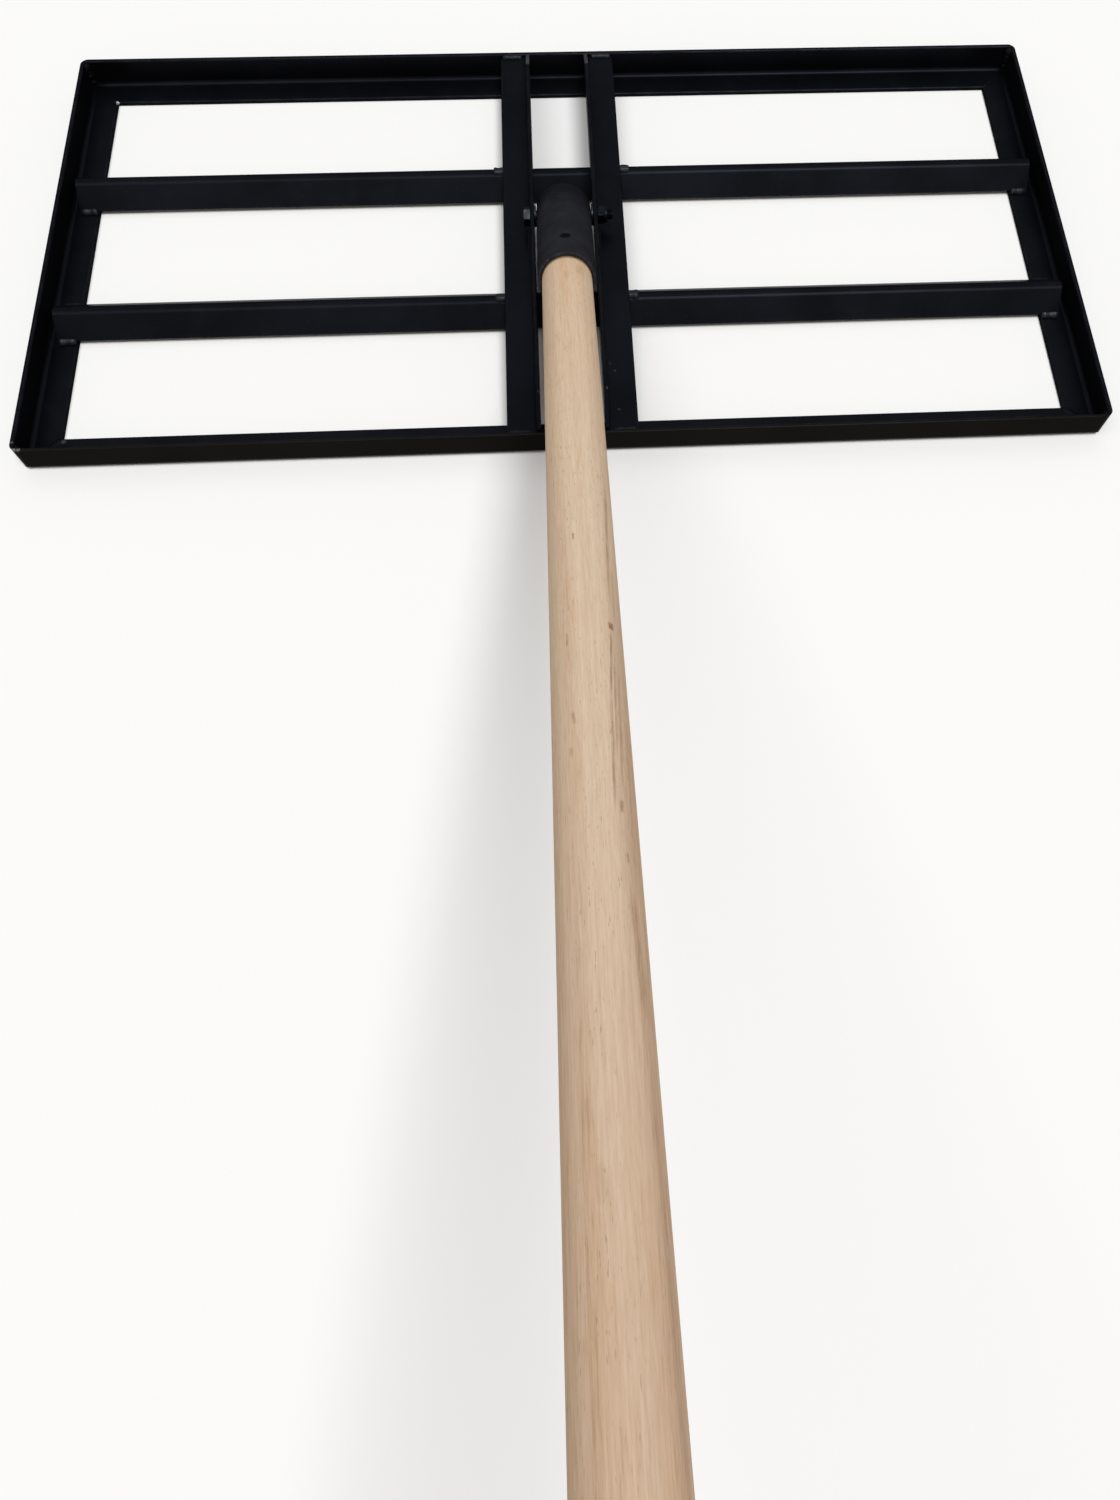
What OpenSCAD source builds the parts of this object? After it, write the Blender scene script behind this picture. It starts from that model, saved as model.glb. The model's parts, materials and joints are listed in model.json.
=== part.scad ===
// Lawn leveller: a flat welded frame of steel angle that is dragged over loose
// top dressing, with a wooden handle that swings on one bolt in its middle.
// Millimetres. +X is to the right, +Y away from the user, +Z up. The origin is on
// the ground, under the middle of the near rail.

/* [Frame] */
// Width of the frame, outside to outside
frame_w = 800; // [500:10:1200]
// Depth of the frame, outside to outside
frame_d = 390; // [340:5:600]
// Rounding of the four upright corner edges
corner_r = 6.5; // [1:0.5:8]

/* [Steel angle] */
// Leg of the angle that the whole frame is cut from
angle_leg = 25; // [22:0.5:30]
// Thickness of its legs
angle_t = 3; // [2:0.5:4]
// Fillet inside the corner of the angle
root_r = 3.5; // [2:0.5:5]
// Rounding of the inner edge of each leg
toe_r = 1.5; // [0.5:0.25:1.75]
// Rounding of the outer corner of the angle
heel_r = 6.5; // [1:0.5:6.5]

/* [Crossbars] */
// Distance between the ridges of the two crossbars
crossbar_pitch = 130; // [110:2:180]
// Gap between each end of a crossbar and the fillet of the side it lies on
crossbar_gap = 3.5; // [0:0.5:4]

/* [Pivot rails] */
// Height of the pivot above the ridges that the two rails lie on
pivot_rise = 16.5; // [14.5:0.5:17]
// Length of the sloping cut at the near end of each upright leg
near_cut_l = 15; // [8:1:30]
// Depth of that cut
near_cut_drop = 17; // [8:0.5:18]
// Length of the sloping cut at the far end of each upright leg
far_cut_l = 36; // [20:1:60]
// Depth of that cut
far_cut_drop = 19; // [8:0.5:19]
// Play of the pivot bolt in the legs, on the radius
leg_hole_play = 0.25; // [0.1:0.05:0.5]

/* [Pivot bolt] */
// Thread size of the bolt
bolt_d = 8; // [6:0.5:10]
// Width across the flats of its head and nut
hex_af = 13; // [13:0.5:17]
// Height of the bolt's head
head_t = 5.3; // [4:0.1:8]
// Height of the lock nut with its collar
nut_t = 8; // [7:0.5:12]
// Height of the collar that holds the nylon ring
collar_t = 2.2; // [1.5:0.1:3]
// Outside diameter of that collar
collar_d = 11.6; // [11.6:0.1:12.4]
// Length of thread that stands out past the nut
bolt_past_nut = 5; // [2:0.5:15]
// Outside diameter of the washers beside the socket
washer_d = 16; // [15:0.5:20]
// Thickness of those washers
washer_t = 1.6; // [1:0.1:3]
// Play between each washer and the socket
side_play = 0.2; // [0.1:0.05:0.5]
// Play of the bolt in the socket and the washers, on the radius
running_play = 0.08; // [0.02:0.01:0.1]

/* [Socket] */
// Outside diameter of the tube that holds the handle
socket_d = 42.4; // [40:0.2:46]
// Wall of that tube
socket_wall = 2.6; // [1.6:0.1:3.2]
// Length of the tube from the pivot to its mouth
socket_reach = 104; // [80:1:140]
// Length of the tube behind the pivot
socket_tail = 10; // [9:0.5:20]
// Distance of the handle screw from the mouth
screw_inset = 26; // [12:1:45]
// Length of the handle screw
screw_l = 25; // [15:1:32]
// Diameter of its shank
screw_d = 4; // [3:0.5:5]
// Diameter of its head
screw_head_d = 8; // [7:0.5:9]
// Height of its cone-shaped head
screw_head_t = 2.2; // [1.5:0.1:2.5]
// Depth of the head below the top of the tube
screw_sink = 0.6; // [0.5:0.1:1]
// Play of the screw in its holes, on the radius
screw_play = 0.1; // [0.05:0.05:0.3]

/* [Handle] */
// Length of the wooden shaft
handle_l = 1500; // [900:10:2000]
// Play of the shaft in the tube, on the radius
handle_play = 0.6; // [0.3:0.1:1]
// Distance of the shaft's inner end from the bolt's surface
handle_from_bolt = 3; // [1:0.5:12]
// Rounding of the shaft's free end
handle_end_r = 7; // [2:0.5:14]
// Chamfer of the shaft's inner end
handle_chamfer = 1.5; // [0.5:0.5:4]
// Angle of the handle above the ground
handle_angle = 20.5; // [9:0.5:80]

/* [Welds] */
// Leg of the weld beads
weld_leg = 4; // [3:0.25:5]
// Height of the flat bead on each corner joint
seam_rise = 1.2; // [0.6:0.1:2]
// Length of the blob beside each pivot rail, along a ridge
blob_l = 8; // [5:0.5:14]
// Length of the bead at each end of a pivot rail
end_bead_l = 16; // [8:0.5:19]

/* [Hidden] */
$fn = 64;
EPS = 0.01;

// The frame's middle seen from the origin
middle_y = (frame_d - angle_leg) / 2;

// A crossbar stands on the rounded inner edges of its two legs. Its slopes would
// meet at roof_z, and its rounded ridge reaches ridge_z
foot_spread = angle_leg / sqrt(2);
foot_drop = (angle_leg + angle_t) / sqrt(2) - toe_r * (sqrt(2) - 1);
roof_z = angle_t + foot_drop;
ridge_z = roof_z - heel_r * (sqrt(2) - 1);
crossbar_inset = angle_t + root_r + crossbar_gap;
crossbar_l = frame_w - 2 * crossbar_inset;
foot_end_gap = roof_z - foot_spread - angle_t;

// The pivot rails lie on the ridges and run from rail to rail
pivot_z = ridge_z + pivot_rise;
rail_gap = socket_d + 2 * (washer_t + side_play);
pivot_rail_l = frame_d - 2 * angle_t;
flange_top = ridge_z + angle_t;
leg_top = ridge_z + angle_leg;

// The bolt runs through both upright legs, the washers and the socket
leg_face = rail_gap / 2 + angle_t;
bolt_l = 2 * leg_face + nut_t + bolt_past_nut;
bolt_r = bolt_d / 2;
thread_r = bolt_r + EPS;
ring_r = (collar_d - 2) / 2;

// The shaft fits the tube
socket_r = socket_d / 2;
bore_r = socket_r - socket_wall;
handle_r = bore_r - handle_play;
handle_start = bolt_r + handle_from_bolt;
screw_z = socket_reach - screw_inset;
screw_top = socket_r - screw_sink;

STEEL = [0.09, 0.10, 0.13];
SOCKET_GREY = [0.15, 0.15, 0.16];
ZINC = [0.72, 0.73, 0.75];
BLACK = [0.05, 0.05, 0.05];
NYLON = [0.20, 0.32, 0.62];
WOOD = [0.83, 0.70, 0.55];

// Puts what is drawn about the frame's middle where the origin asks for it
module about_middle() {
    translate([0, middle_y, 0])
        children();
}

// Turns a shape drawn along +Z from the pivot into the handle's direction
module along_handle() {
    about_middle()
        translate([0, 0, pivot_z])
            rotate([90 - handle_angle, 0, 0])
                children();
}

// Turns a shape drawn along +Z into +X, with its +X pointing to +Y
module along_x() {
    rotate([90, 0, 90])
        children();
}

// Outline of the angle, the point where its outer faces would meet at the origin
module angle_outline() {
    difference() {
        union() {
            square([angle_leg, angle_t]);
            square([angle_t, angle_leg]);
            translate([angle_t, angle_t])
                square(root_r);
        }
        translate([angle_t + root_r, angle_t + root_r])
            circle(root_r);
        heel_cut();
        toe_cut();
        mirror([1, -1])
            toe_cut();
    }
}

// What the rounding takes off the inner edge of the leg along X
module toe_cut() {
    difference() {
        translate([angle_leg - toe_r, angle_t - toe_r])
            square(toe_r + 1);
        translate([angle_leg - toe_r, angle_t - toe_r])
            circle(toe_r);
    }
}

// What the rounding takes off the outer corner
module heel_cut() {
    difference() {
        translate([-1, -1])
            square(heel_r + 1);
        translate([heel_r, heel_r])
            circle(heel_r);
    }
}

// One side of the frame, mitred at both ends, its outer face on Y = 0
module mitred_rail(length) {
    difference() {
        translate([-length / 2, 0, 0])
            along_x()
                linear_extrude(length)
                    angle_outline();
        mitre_cut(length);
        mirror([1, 0, 0])
            mitre_cut(length);
    }
}

// What the saw and the grinder take off the right end of a side
module mitre_cut(length) {
    translate([length / 2, 0, -1]) {
        rotate([0, 0, 45])
            translate([0, -2 * angle_leg, 0])
                cube([2 * angle_leg, 4 * angle_leg, angle_leg + 2]);
        translate([-corner_r, corner_r, 0])
            difference() {
                translate([0, -corner_r - 1, 0])
                    cube([corner_r + 1, corner_r + 1, angle_leg + 2]);
                cylinder(h = angle_leg + 2, r = corner_r);
            }
    }
}

module near_rail() {
    color(STEEL)
        about_middle()
            translate([0, -frame_d / 2, 0])
                mitred_rail(frame_w);
}

module far_rail() {
    color(STEEL)
        about_middle()
            translate([0, frame_d / 2, 0])
                rotate([0, 0, 180])
                    mitred_rail(frame_w);
}

module left_rail() {
    color(STEEL)
        about_middle()
            translate([-frame_w / 2, 0, 0])
                rotate([0, 0, -90])
                    mitred_rail(frame_d);
}

module right_rail() {
    color(STEEL)
        about_middle()
            translate([frame_w / 2, 0, 0])
                rotate([0, 0, 90])
                    mitred_rail(frame_d);
}

// An angle laid like a roof across the frame; side is -1 near, 1 far
module crossbar(side) {
    about_middle()
        translate([-crossbar_l / 2, side * crossbar_pitch / 2, roof_z])
            along_x()
                linear_extrude(crossbar_l)
                    rotate(-135)
                        angle_outline();
}

module front_crossbar() {
    color(STEEL)
        crossbar(-1);
}

module rear_crossbar() {
    color(STEEL)
        crossbar(1);
}

// One of the two rails that carry the bolt: a flange outwards, a leg upright
module pivot_rail() {
    about_middle()
        difference() {
            translate([rail_gap / 2, pivot_rail_l / 2, ridge_z])
                rotate([90, 0, 0])
                    linear_extrude(pivot_rail_l)
                        angle_outline();
            leg_end_cut(-1, near_cut_l, near_cut_drop);
            leg_end_cut(1, far_cut_l, far_cut_drop);
            translate([rail_gap / 2 - 1, 0, pivot_z])
                rotate([0, 90, 0])
                    cylinder(h = angle_t + root_r + 2, r = bolt_r + leg_hole_play);
        }
}

// Slopes the upright leg down at one end; side is -1 near, 1 far
module leg_end_cut(side, cut_l, cut_drop) {
    translate([rail_gap / 2 - 1, side * pivot_rail_l / 2, leg_top])
        along_x()
            linear_extrude(angle_t + root_r + 2)
                polygon([
                    [side, 1],
                    [side, -cut_drop - cut_drop / cut_l],
                    [-side * cut_l, 0],
                    [-side * cut_l, 1]
                ]);
}

module left_pivot_rail() {
    color(STEEL)
        mirror([1, 0, 0])
            pivot_rail();
}

module right_pivot_rail() {
    color(STEEL)
        pivot_rail();
}

// A bead of round section along +X with ball ends
module round_bead(length, r) {
    along_x()
        cylinder(h = length, r = r);
    sphere(r);
    translate([length, 0, 0])
        sphere(r);
}

// The welds of the near left corner, drawn from its inner corner point
module corner_weld() {
    upright_from = angle_t + root_r;
    seam_from = weld_leg / 2;
    seam_l = (angle_leg - angle_t - root_r) * sqrt(2) - seam_from;
    seam_r = (seam_rise * seam_rise + weld_leg * weld_leg / 4) / (2 * seam_rise);
    translate([angle_t, angle_t, upright_from])
        intersection() {
            cylinder(h = angle_leg - upright_from - 1, r = weld_leg);
            cube([weld_leg + 1, weld_leg + 1, angle_leg]);
        }
    translate([angle_t + root_r, angle_t + root_r, 0])
        rotate([0, 0, 45])
            intersection() {
                translate([seam_from, 0, angle_t + seam_rise - seam_r])
                    along_x()
                        cylinder(h = seam_l, r = seam_r);
                translate([seam_from, -weld_leg, angle_t])
                    cube([seam_l, 2 * weld_leg, seam_rise + 1]);
            }
}

module corner_welds() {
    color(STEEL)
        about_middle()
            for (flip_x = [0, 1], flip_y = [0, 1])
                mirror([flip_x, 0, 0])
                    mirror([0, flip_y, 0])
                        translate([-frame_w / 2, -frame_d / 2, 0])
                            corner_weld();
}

// The bead before one foot of a crossbar, on the left side rail
module foot_bead() {
    bead_l = angle_leg - crossbar_inset - 2 * weld_leg;
    translate([crossbar_inset + weld_leg - frame_w / 2, foot_end_gap - foot_spread, angle_t])
        intersection() {
            round_bead(bead_l, weld_leg);
            translate([-2 * weld_leg, 0, 0])
                along_x()
                    linear_extrude(bead_l + 4 * weld_leg)
                        polygon([[0, 0], [-2 * weld_leg, 0], [-2 * weld_leg, 2 * weld_leg]]);
        }
}

// The four beads of one crossbar; side is -1 near, 1 far
module crossbar_welds(side) {
    about_middle()
        translate([0, side * crossbar_pitch / 2, 0])
            for (flip_x = [0, 1], flip_y = [0, 1])
                mirror([flip_x, 0, 0])
                    mirror([0, flip_y, 0])
                        foot_bead();
}

module front_crossbar_welds() {
    color(STEEL)
        crossbar_welds(-1);
}

module rear_crossbar_welds() {
    color(STEEL)
        crossbar_welds(1);
}

// The blob that ties a flange to a ridge, to the right of the right rail
module ridge_blob() {
    straight = blob_l - weld_leg;
    translate([rail_gap / 2 + angle_leg, 0, ridge_z])
        difference() {
            union() {
                along_x()
                    cylinder(h = straight, r = weld_leg);
                translate([straight, 0, 0])
                    sphere(weld_leg);
            }
            translate([-weld_leg, 0, roof_z - ridge_z])
                along_x()
                    linear_extrude(blob_l + 2 * weld_leg)
                        roof_outline(4 * weld_leg);
            translate([-2 * weld_leg, -2 * weld_leg, -2 * weld_leg])
                cube([2 * weld_leg, 4 * weld_leg, 4 * weld_leg]);
        }
}

// The rounded roof of a crossbar, filled down to a depth below its slopes' meeting point
module roof_outline(depth) {
    bend = heel_r / sqrt(2);
    translate([0, -2 * bend])
        circle(heel_r);
    polygon([[-bend, -bend], [bend, -bend], [depth, -depth], [-depth, -depth]]);
}

// The bead in the corner between a flange's end and the rail beyond it
module end_bead() {
    bead_r = angle_t - EPS;
    straight = end_bead_l - 2 * bead_r;
    start = rail_gap / 2 + angle_t + root_r + bead_r;
    difference() {
        translate([start, pivot_rail_l / 2, flange_top])
            round_bead(straight, bead_r);
        translate([0, pivot_rail_l / 2 - 2 * bead_r, flange_top - 2 * bead_r])
            cube([rail_gap + angle_leg, 4 * bead_r, 2 * bead_r]);
        translate([0, frame_d / 2, 0])
            mirror([0, 1, 0])
                along_x()
                    linear_extrude(rail_gap + angle_leg)
                        angle_outline();
    }
}

module pivot_rail_welds() {
    about_middle()
        for (side = [-1, 1]) {
            translate([0, side * crossbar_pitch / 2, 0])
                ridge_blob();
            scale([1, side, 1])
                end_bead();
        }
}

module left_pivot_rail_welds() {
    color(STEEL)
        mirror([1, 0, 0])
            pivot_rail_welds();
}

module right_pivot_rail_welds() {
    color(STEEL)
        pivot_rail_welds();
}

// Turns a shape drawn along +Z into +X on the pivot's line, from a given X
module on_pivot(from_x) {
    about_middle()
        translate([from_x, 0, pivot_z])
            rotate([0, 90, 0])
                children();
}

// A hexagon's prism with the round chamfer of a forged head on its far end
module hex_prism(height) {
    corner_radius = hex_af / sqrt(3);
    chamfer = corner_radius - hex_af / 2;
    intersection() {
        cylinder(h = height, r = corner_radius, $fn = 6);
        union() {
            cylinder(h = height - chamfer / 2, r = corner_radius + EPS);
            translate([0, 0, height - chamfer / 2])
                cylinder(h = chamfer / 2, r1 = corner_radius + EPS, r2 = hex_af / 2);
        }
    }
}

module pivot_bolt() {
    tip = bolt_r / 4;
    color(ZINC) {
        on_pivot(-leg_face)
            mirror([0, 0, 1])
                hex_prism(head_t);
        on_pivot(-leg_face)
            union() {
                cylinder(h = bolt_l - tip, r = bolt_r);
                translate([0, 0, bolt_l - tip])
                    cylinder(h = tip, r1 = bolt_r, r2 = bolt_r - tip);
            }
    }
}

module pivot_nut() {
    color(ZINC)
        on_pivot(leg_face)
            difference() {
                union() {
                    hex_prism(nut_t - collar_t);
                    cylinder(h = nut_t, r = collar_d / 2);
                }
                translate([0, 0, -1])
                    cylinder(h = nut_t + 2, r = thread_r);
                translate([0, 0, nut_t - collar_t])
                    cylinder(h = collar_t + 1, r = ring_r);
            }
}

module nut_nylon_ring() {
    color(NYLON)
        on_pivot(leg_face + nut_t - collar_t)
            difference() {
                cylinder(h = collar_t - 0.3, r = ring_r - EPS);
                translate([0, 0, -1])
                    cylinder(h = collar_t + 2, r = thread_r);
            }
}

module washer() {
    difference() {
        cylinder(h = washer_t, r = washer_d / 2);
        translate([0, 0, -1])
            cylinder(h = washer_t + 2, r = bolt_r + running_play);
    }
}

module left_washer() {
    color(ZINC)
        on_pivot(-rail_gap / 2)
            washer();
}

module right_washer() {
    color(ZINC)
        on_pivot(rail_gap / 2 - washer_t)
            washer();
}

// The tube that swings on the bolt
module handle_socket() {
    color(SOCKET_GREY)
        along_handle()
            difference() {
                translate([0, 0, -socket_tail])
                    cylinder(h = socket_tail + socket_reach, r = socket_r);
                translate([0, 0, -socket_tail - 1])
                    cylinder(h = socket_tail + socket_reach + 2, r = bore_r);
                translate([-socket_r - 1, 0, 0])
                    rotate([0, 90, 0])
                        cylinder(h = socket_d + 2, r = bolt_r + running_play);
                screw_shape(screw_play, screw_sink + 1);
            }
}

// The screw, made larger all round by play and carried on above its head
module screw_shape(play, above) {
    point = screw_d;
    stem = screw_l - screw_head_t - point;
    translate([0, screw_top, screw_z])
        rotate([90, 0, 0]) {
            translate([0, 0, -above])
                cylinder(h = above + EPS, r = screw_head_d / 2 + play);
            cylinder(h = screw_head_t, r1 = screw_head_d / 2 + play, r2 = screw_d / 2 + play);
            translate([0, 0, screw_head_t - EPS])
                cylinder(h = stem + 2 * EPS, r = screw_d / 2 + play);
            translate([0, 0, screw_head_t + stem])
                cylinder(h = point + play, r1 = screw_d / 2 + play, r2 = play + EPS);
        }
}

module socket_screw() {
    recess_w = screw_head_d / 9;
    recess_l = screw_head_d / 2;
    color(BLACK)
        along_handle()
            difference() {
                screw_shape(0, 0);
                for (turn = [0, 90])
                    translate([0, screw_top, screw_z])
                        rotate([0, turn, 0])
                            translate([-recess_l / 2, -screw_head_t / 2, -recess_w / 2])
                                cube([recess_l, screw_head_t, recess_w]);
            }
}

// The wooden shaft, rounded at its free end
module handle_shaft() {
    flat_r = handle_r - handle_end_r;
    color(WOOD)
        along_handle()
            difference() {
                translate([0, 0, handle_start])
                    union() {
                        cylinder(h = handle_chamfer, r1 = handle_r - handle_chamfer, r2 = handle_r);
                        translate([0, 0, handle_chamfer])
                            cylinder(h = handle_l - handle_chamfer - handle_end_r, r = handle_r);
                        translate([0, 0, handle_l - handle_end_r])
                            rotate_extrude()
                                intersection() {
                                    union() {
                                        square([flat_r, handle_end_r]);
                                        translate([flat_r, 0])
                                            circle(handle_end_r);
                                    }
                                    square([handle_r, handle_end_r]);
                                }
                    }
                screw_shape(screw_play, screw_sink + 1);
            }
}

near_rail();
far_rail();
left_rail();
right_rail();
front_crossbar();
rear_crossbar();
left_pivot_rail();
right_pivot_rail();
corner_welds();
front_crossbar_welds();
rear_crossbar_welds();
left_pivot_rail_welds();
right_pivot_rail_welds();
pivot_bolt();
pivot_nut();
nut_nylon_ring();
left_washer();
right_washer();
handle_socket();
socket_screw();
handle_shaft();
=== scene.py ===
"""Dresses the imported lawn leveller: steel bars, welds, pivot, socket and shaft."""

import json
import logging
import math
import random
from dataclasses import dataclass, field
from enum import Enum
from typing import Any, Callable, Mapping, Sequence

import bmesh
import bpy
from mathutils import Matrix, Vector, noise


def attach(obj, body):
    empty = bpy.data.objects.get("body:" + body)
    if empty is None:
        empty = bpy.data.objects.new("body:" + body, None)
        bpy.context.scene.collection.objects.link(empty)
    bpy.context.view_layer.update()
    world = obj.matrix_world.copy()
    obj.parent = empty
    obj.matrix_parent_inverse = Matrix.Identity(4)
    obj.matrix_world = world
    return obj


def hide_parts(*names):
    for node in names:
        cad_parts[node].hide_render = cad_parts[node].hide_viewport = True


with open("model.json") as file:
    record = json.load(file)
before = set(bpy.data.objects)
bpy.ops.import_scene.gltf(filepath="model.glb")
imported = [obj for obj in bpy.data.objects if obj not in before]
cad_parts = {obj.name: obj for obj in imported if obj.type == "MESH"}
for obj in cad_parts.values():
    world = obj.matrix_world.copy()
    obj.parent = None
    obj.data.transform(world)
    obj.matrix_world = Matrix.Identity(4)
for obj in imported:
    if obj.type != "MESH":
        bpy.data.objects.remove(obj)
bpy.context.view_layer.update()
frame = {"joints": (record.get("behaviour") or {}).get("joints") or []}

LOG = logging.getLogger("lawn_leveller")

MM = 0.001
TINY = 1e-6
FULL_TURN = 2 * math.pi
QUARTER_TURN = math.pi / 2
EDGE_LAYER = "edge"
HANDLE_LEAN = math.radians(20.5)
TUBE_MOUTH = 104 * MM
SHAFT_END = 1507 * MM
SHARP_EDGE = math.radians(20)
HALF_TINT = (0.5, 0.5, 0.5, 1.0)
UP = (0, 0, 1)
CORNERS = ((-1, -1), (1, -1), (1, 1), (-1, 1))

Point = tuple[float, float, float]
Colour = tuple[float, float, float]
Level = Callable[[float], Point]


class Body(Enum):
    """The two bodies that the pieces ride on."""

    FRAME = "frame"
    HANDLE = "handle"


class Slot(Enum):
    """The record's material slots."""

    POWDER_COAT = "powder_coat"
    SOCKET_PAINT = "socket_paint"
    ZINC = "zinc"
    NYLON = "nylon"
    BLACK_SCREW = "black_screw"
    WOOD = "wood"


# Shader maths


class Wire:
    """A shader value on which Python's operators add Math nodes."""

    def __init__(self, graph: "Graph", socket: bpy.types.NodeSocket) -> None:
        """Wraps one output socket of a graph."""
        self.graph = graph
        self.socket = socket

    def math(self, operation: str, *others: "Wire | float", flip: bool = False) -> "Wire":
        """Adds one Math node.

        Args:
            operation: The node's operation.
            others: Its further operands.
            flip: True where the first two operands change places.

        Returns:
            The node's result.
        """
        operands = [self, *others]
        if flip:
            operands[0], operands[1] = operands[1], operands[0]
        return self.graph.node(
            "ShaderNodeMath", {"operation": operation}, dict(enumerate(operands))
        )

    def __add__(self, other: "Wire | float") -> "Wire":
        """self + other, or other + self."""
        return self.math("ADD", other)

    def __sub__(self, other: "Wire | float") -> "Wire":
        """self - other."""
        return self.math("SUBTRACT", other)

    def __rsub__(self, other: float) -> "Wire":
        """other - self."""
        return self.math("SUBTRACT", other, flip=True)

    def __mul__(self, other: "Wire | float") -> "Wire":
        """self * other."""
        return self.math("MULTIPLY", other)

    def __pow__(self, other: float) -> "Wire":
        """self raised to other."""
        return self.math("POWER", other)

    __radd__ = __add__

    def above(self, low: float, high: float) -> "Wire":
        """0 below low, 1 above high and smooth between them."""
        return self.graph.node(
            "ShaderNodeMapRange",
            {"interpolation_type": "SMOOTHSTEP", "clamp": True},
            {"Value": self, "From Min": low, "From Max": high},
        )

    def below(self, low: float, high: float) -> "Wire":
        """1 below low, 0 above high and smooth between them."""
        return 1 - self.above(low, high)


class Graph:
    """The node tree of one material or of the world, with short words for nodes."""

    def __init__(self, owner: bpy.types.Material | bpy.types.World) -> None:
        """Empties the owner's node tree."""
        owner.use_nodes = True
        self.tree = owner.node_tree
        self.tree.nodes.clear()
        self._place: Wire | None = None

    def node(
        self,
        kind: str,
        settings: Mapping[str, Any] | None = None,
        sockets: Mapping[str | int, Any] | None = None,
        output: str | int = 0,
    ) -> Wire:
        """Adds a node.

        Args:
            kind: The node's type.
            settings: Its own settings, set first. "stops" fills a colour ramp.
            sockets: Values or wires for its inputs, by name, identifier or number.
            output: The output that is wanted, by name, identifier or number.

        Returns:
            That output.
        """
        node = self.tree.nodes.new(kind)
        for name, value in (settings or {}).items():
            if name == "stops":
                self._fill_ramp(node.color_ramp, value)
            else:
                setattr(node, name, value)
        for key, value in (sockets or {}).items():
            socket = self._pick(node.inputs, key)
            if isinstance(value, Wire):
                self.tree.links.new(value.socket, socket)
            else:
                socket.default_value = self._fit(socket, value)
        return Wire(self, self._pick(node.outputs, output))

    @staticmethod
    def _pick(sockets: Any, key: str | int) -> bpy.types.NodeSocket:
        """Finds a socket by number, identifier or name."""
        if isinstance(key, int):
            return sockets[key]
        found = [s for s in sockets if s.identifier == key]
        return found[0] if found else sockets[key]

    @staticmethod
    def _fit(socket: bpy.types.NodeSocket, value: Any) -> Any:
        """Adds the alpha that a colour socket wants."""
        if socket.type == "RGBA" and len(value) == 3:
            return (*value, 1.0)
        return value

    @staticmethod
    def _fill_ramp(ramp: bpy.types.ColorRamp, stops: Sequence[tuple[float, Colour]]) -> None:
        """Gives a colour ramp its stops."""
        while len(ramp.elements) < len(stops):
            ramp.elements.new(1.0)
        for element, (position, colour) in zip(ramp.elements, stops):
            element.position = position
            element.color = (*colour, 1.0)

    def place(self) -> Wire:
        """The point on the piece, in metres, shared by all its patterns."""
        if self._place is None:
            self._place = self.node("ShaderNodeTexCoord", output="Object")
        return self._place

    def mapped(self, vector: Wire, location: Point, turn: Point, scale: Point) -> Wire:
        """A point moved, turned and scaled, in this order from the inside out."""
        return self.node(
            "ShaderNodeMapping",
            {"vector_type": "POINT"},
            {"Vector": vector, "Location": location, "Rotation": turn, "Scale": scale},
        )

    def vector(
        self, operation: str, first: Wire, second: Wire | Point, output: str = "Vector"
    ) -> Wire:
        """One Vector Math node."""
        return self.node(
            "ShaderNodeVectorMath", {"operation": operation}, {0: first, 1: second}, output
        )

    def part_of(self, vector: Wire, axis: str) -> Wire:
        """One coordinate of a point."""
        return self.node("ShaderNodeSeparateXYZ", {}, {"Vector": vector}, axis)

    def along(self, pivot: Point, lean: float) -> Wire:
        """The point seen from the pivot, with Z along the handle and Y upwards."""
        moved = self.vector("SUBTRACT", self.place(), pivot)
        return self.mapped(moved, (0, 0, 0), (lean - QUARTER_TURN, 0, 0), (1, 1, 1))

    def noise(
        self, scale: float, detail: float = 2.0, rough: float = 0.5, at: Wire | None = None
    ) -> Wire:
        """Cloudy noise from 0 to 1.

        Args:
            scale: Cells per metre, or per unit of the given point.
            detail: Octaves.
            rough: Strength of the finer octaves.
            at: The point, or None for the point on the piece.

        Returns:
            The noise.
        """
        return self.node(
            "ShaderNodeTexNoise",
            {"noise_dimensions": "3D"},
            {"Vector": at or self.place(), "Scale": scale, "Detail": detail, "Roughness": rough},
            output="Fac",
        )

    def ramp(self, value: Wire, stops: Sequence[tuple[float, Colour]]) -> Wire:
        """A colour picked along a value."""
        return self.node("ShaderNodeValToRGB", {"stops": stops}, {"Fac": value}, "Color")

    def blend(
        self, factor: Wire | float, first: Wire | Colour, second: Wire | Colour, how: str = "MIX"
    ) -> Wire:
        """Two colours mixed."""
        return self.node(
            "ShaderNodeMix",
            {"data_type": "RGBA", "blend_type": how, "clamp_factor": True},
            {"Factor_Float": factor, "A_Color": first, "B_Color": second},
            "Result_Color",
        )

    def near(self, centre: Point, reach: float, ragged: Wire) -> Wire:
        """1 close to a point and 0 far from it; the ragged edge lies about reach away."""
        away = self.vector("DISTANCE", self.place(), centre, "Value")
        away = away + (ragged - 0.5) * (1.6 * reach)
        return away.below(reach * 0.8, reach * 1.2)

    def rubbed_edges(self, scale: float, rough: float, low: float, high: float) -> Wire:
        """Where the rounded edges are rubbed, in patches.

        Args:
            scale: Patches per metre.
            rough: How ragged the patches are.
            low: The noise below which nothing is rubbed.
            high: The noise above which the edge is fully rubbed.

        Returns:
            1 where the edge is rubbed and 0 elsewhere.
        """
        edge = self.node("ShaderNodeAttribute", {"attribute_name": EDGE_LAYER}, {}, "Fac")
        return edge * self.noise(scale, 3, rough).above(low, high)

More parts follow.
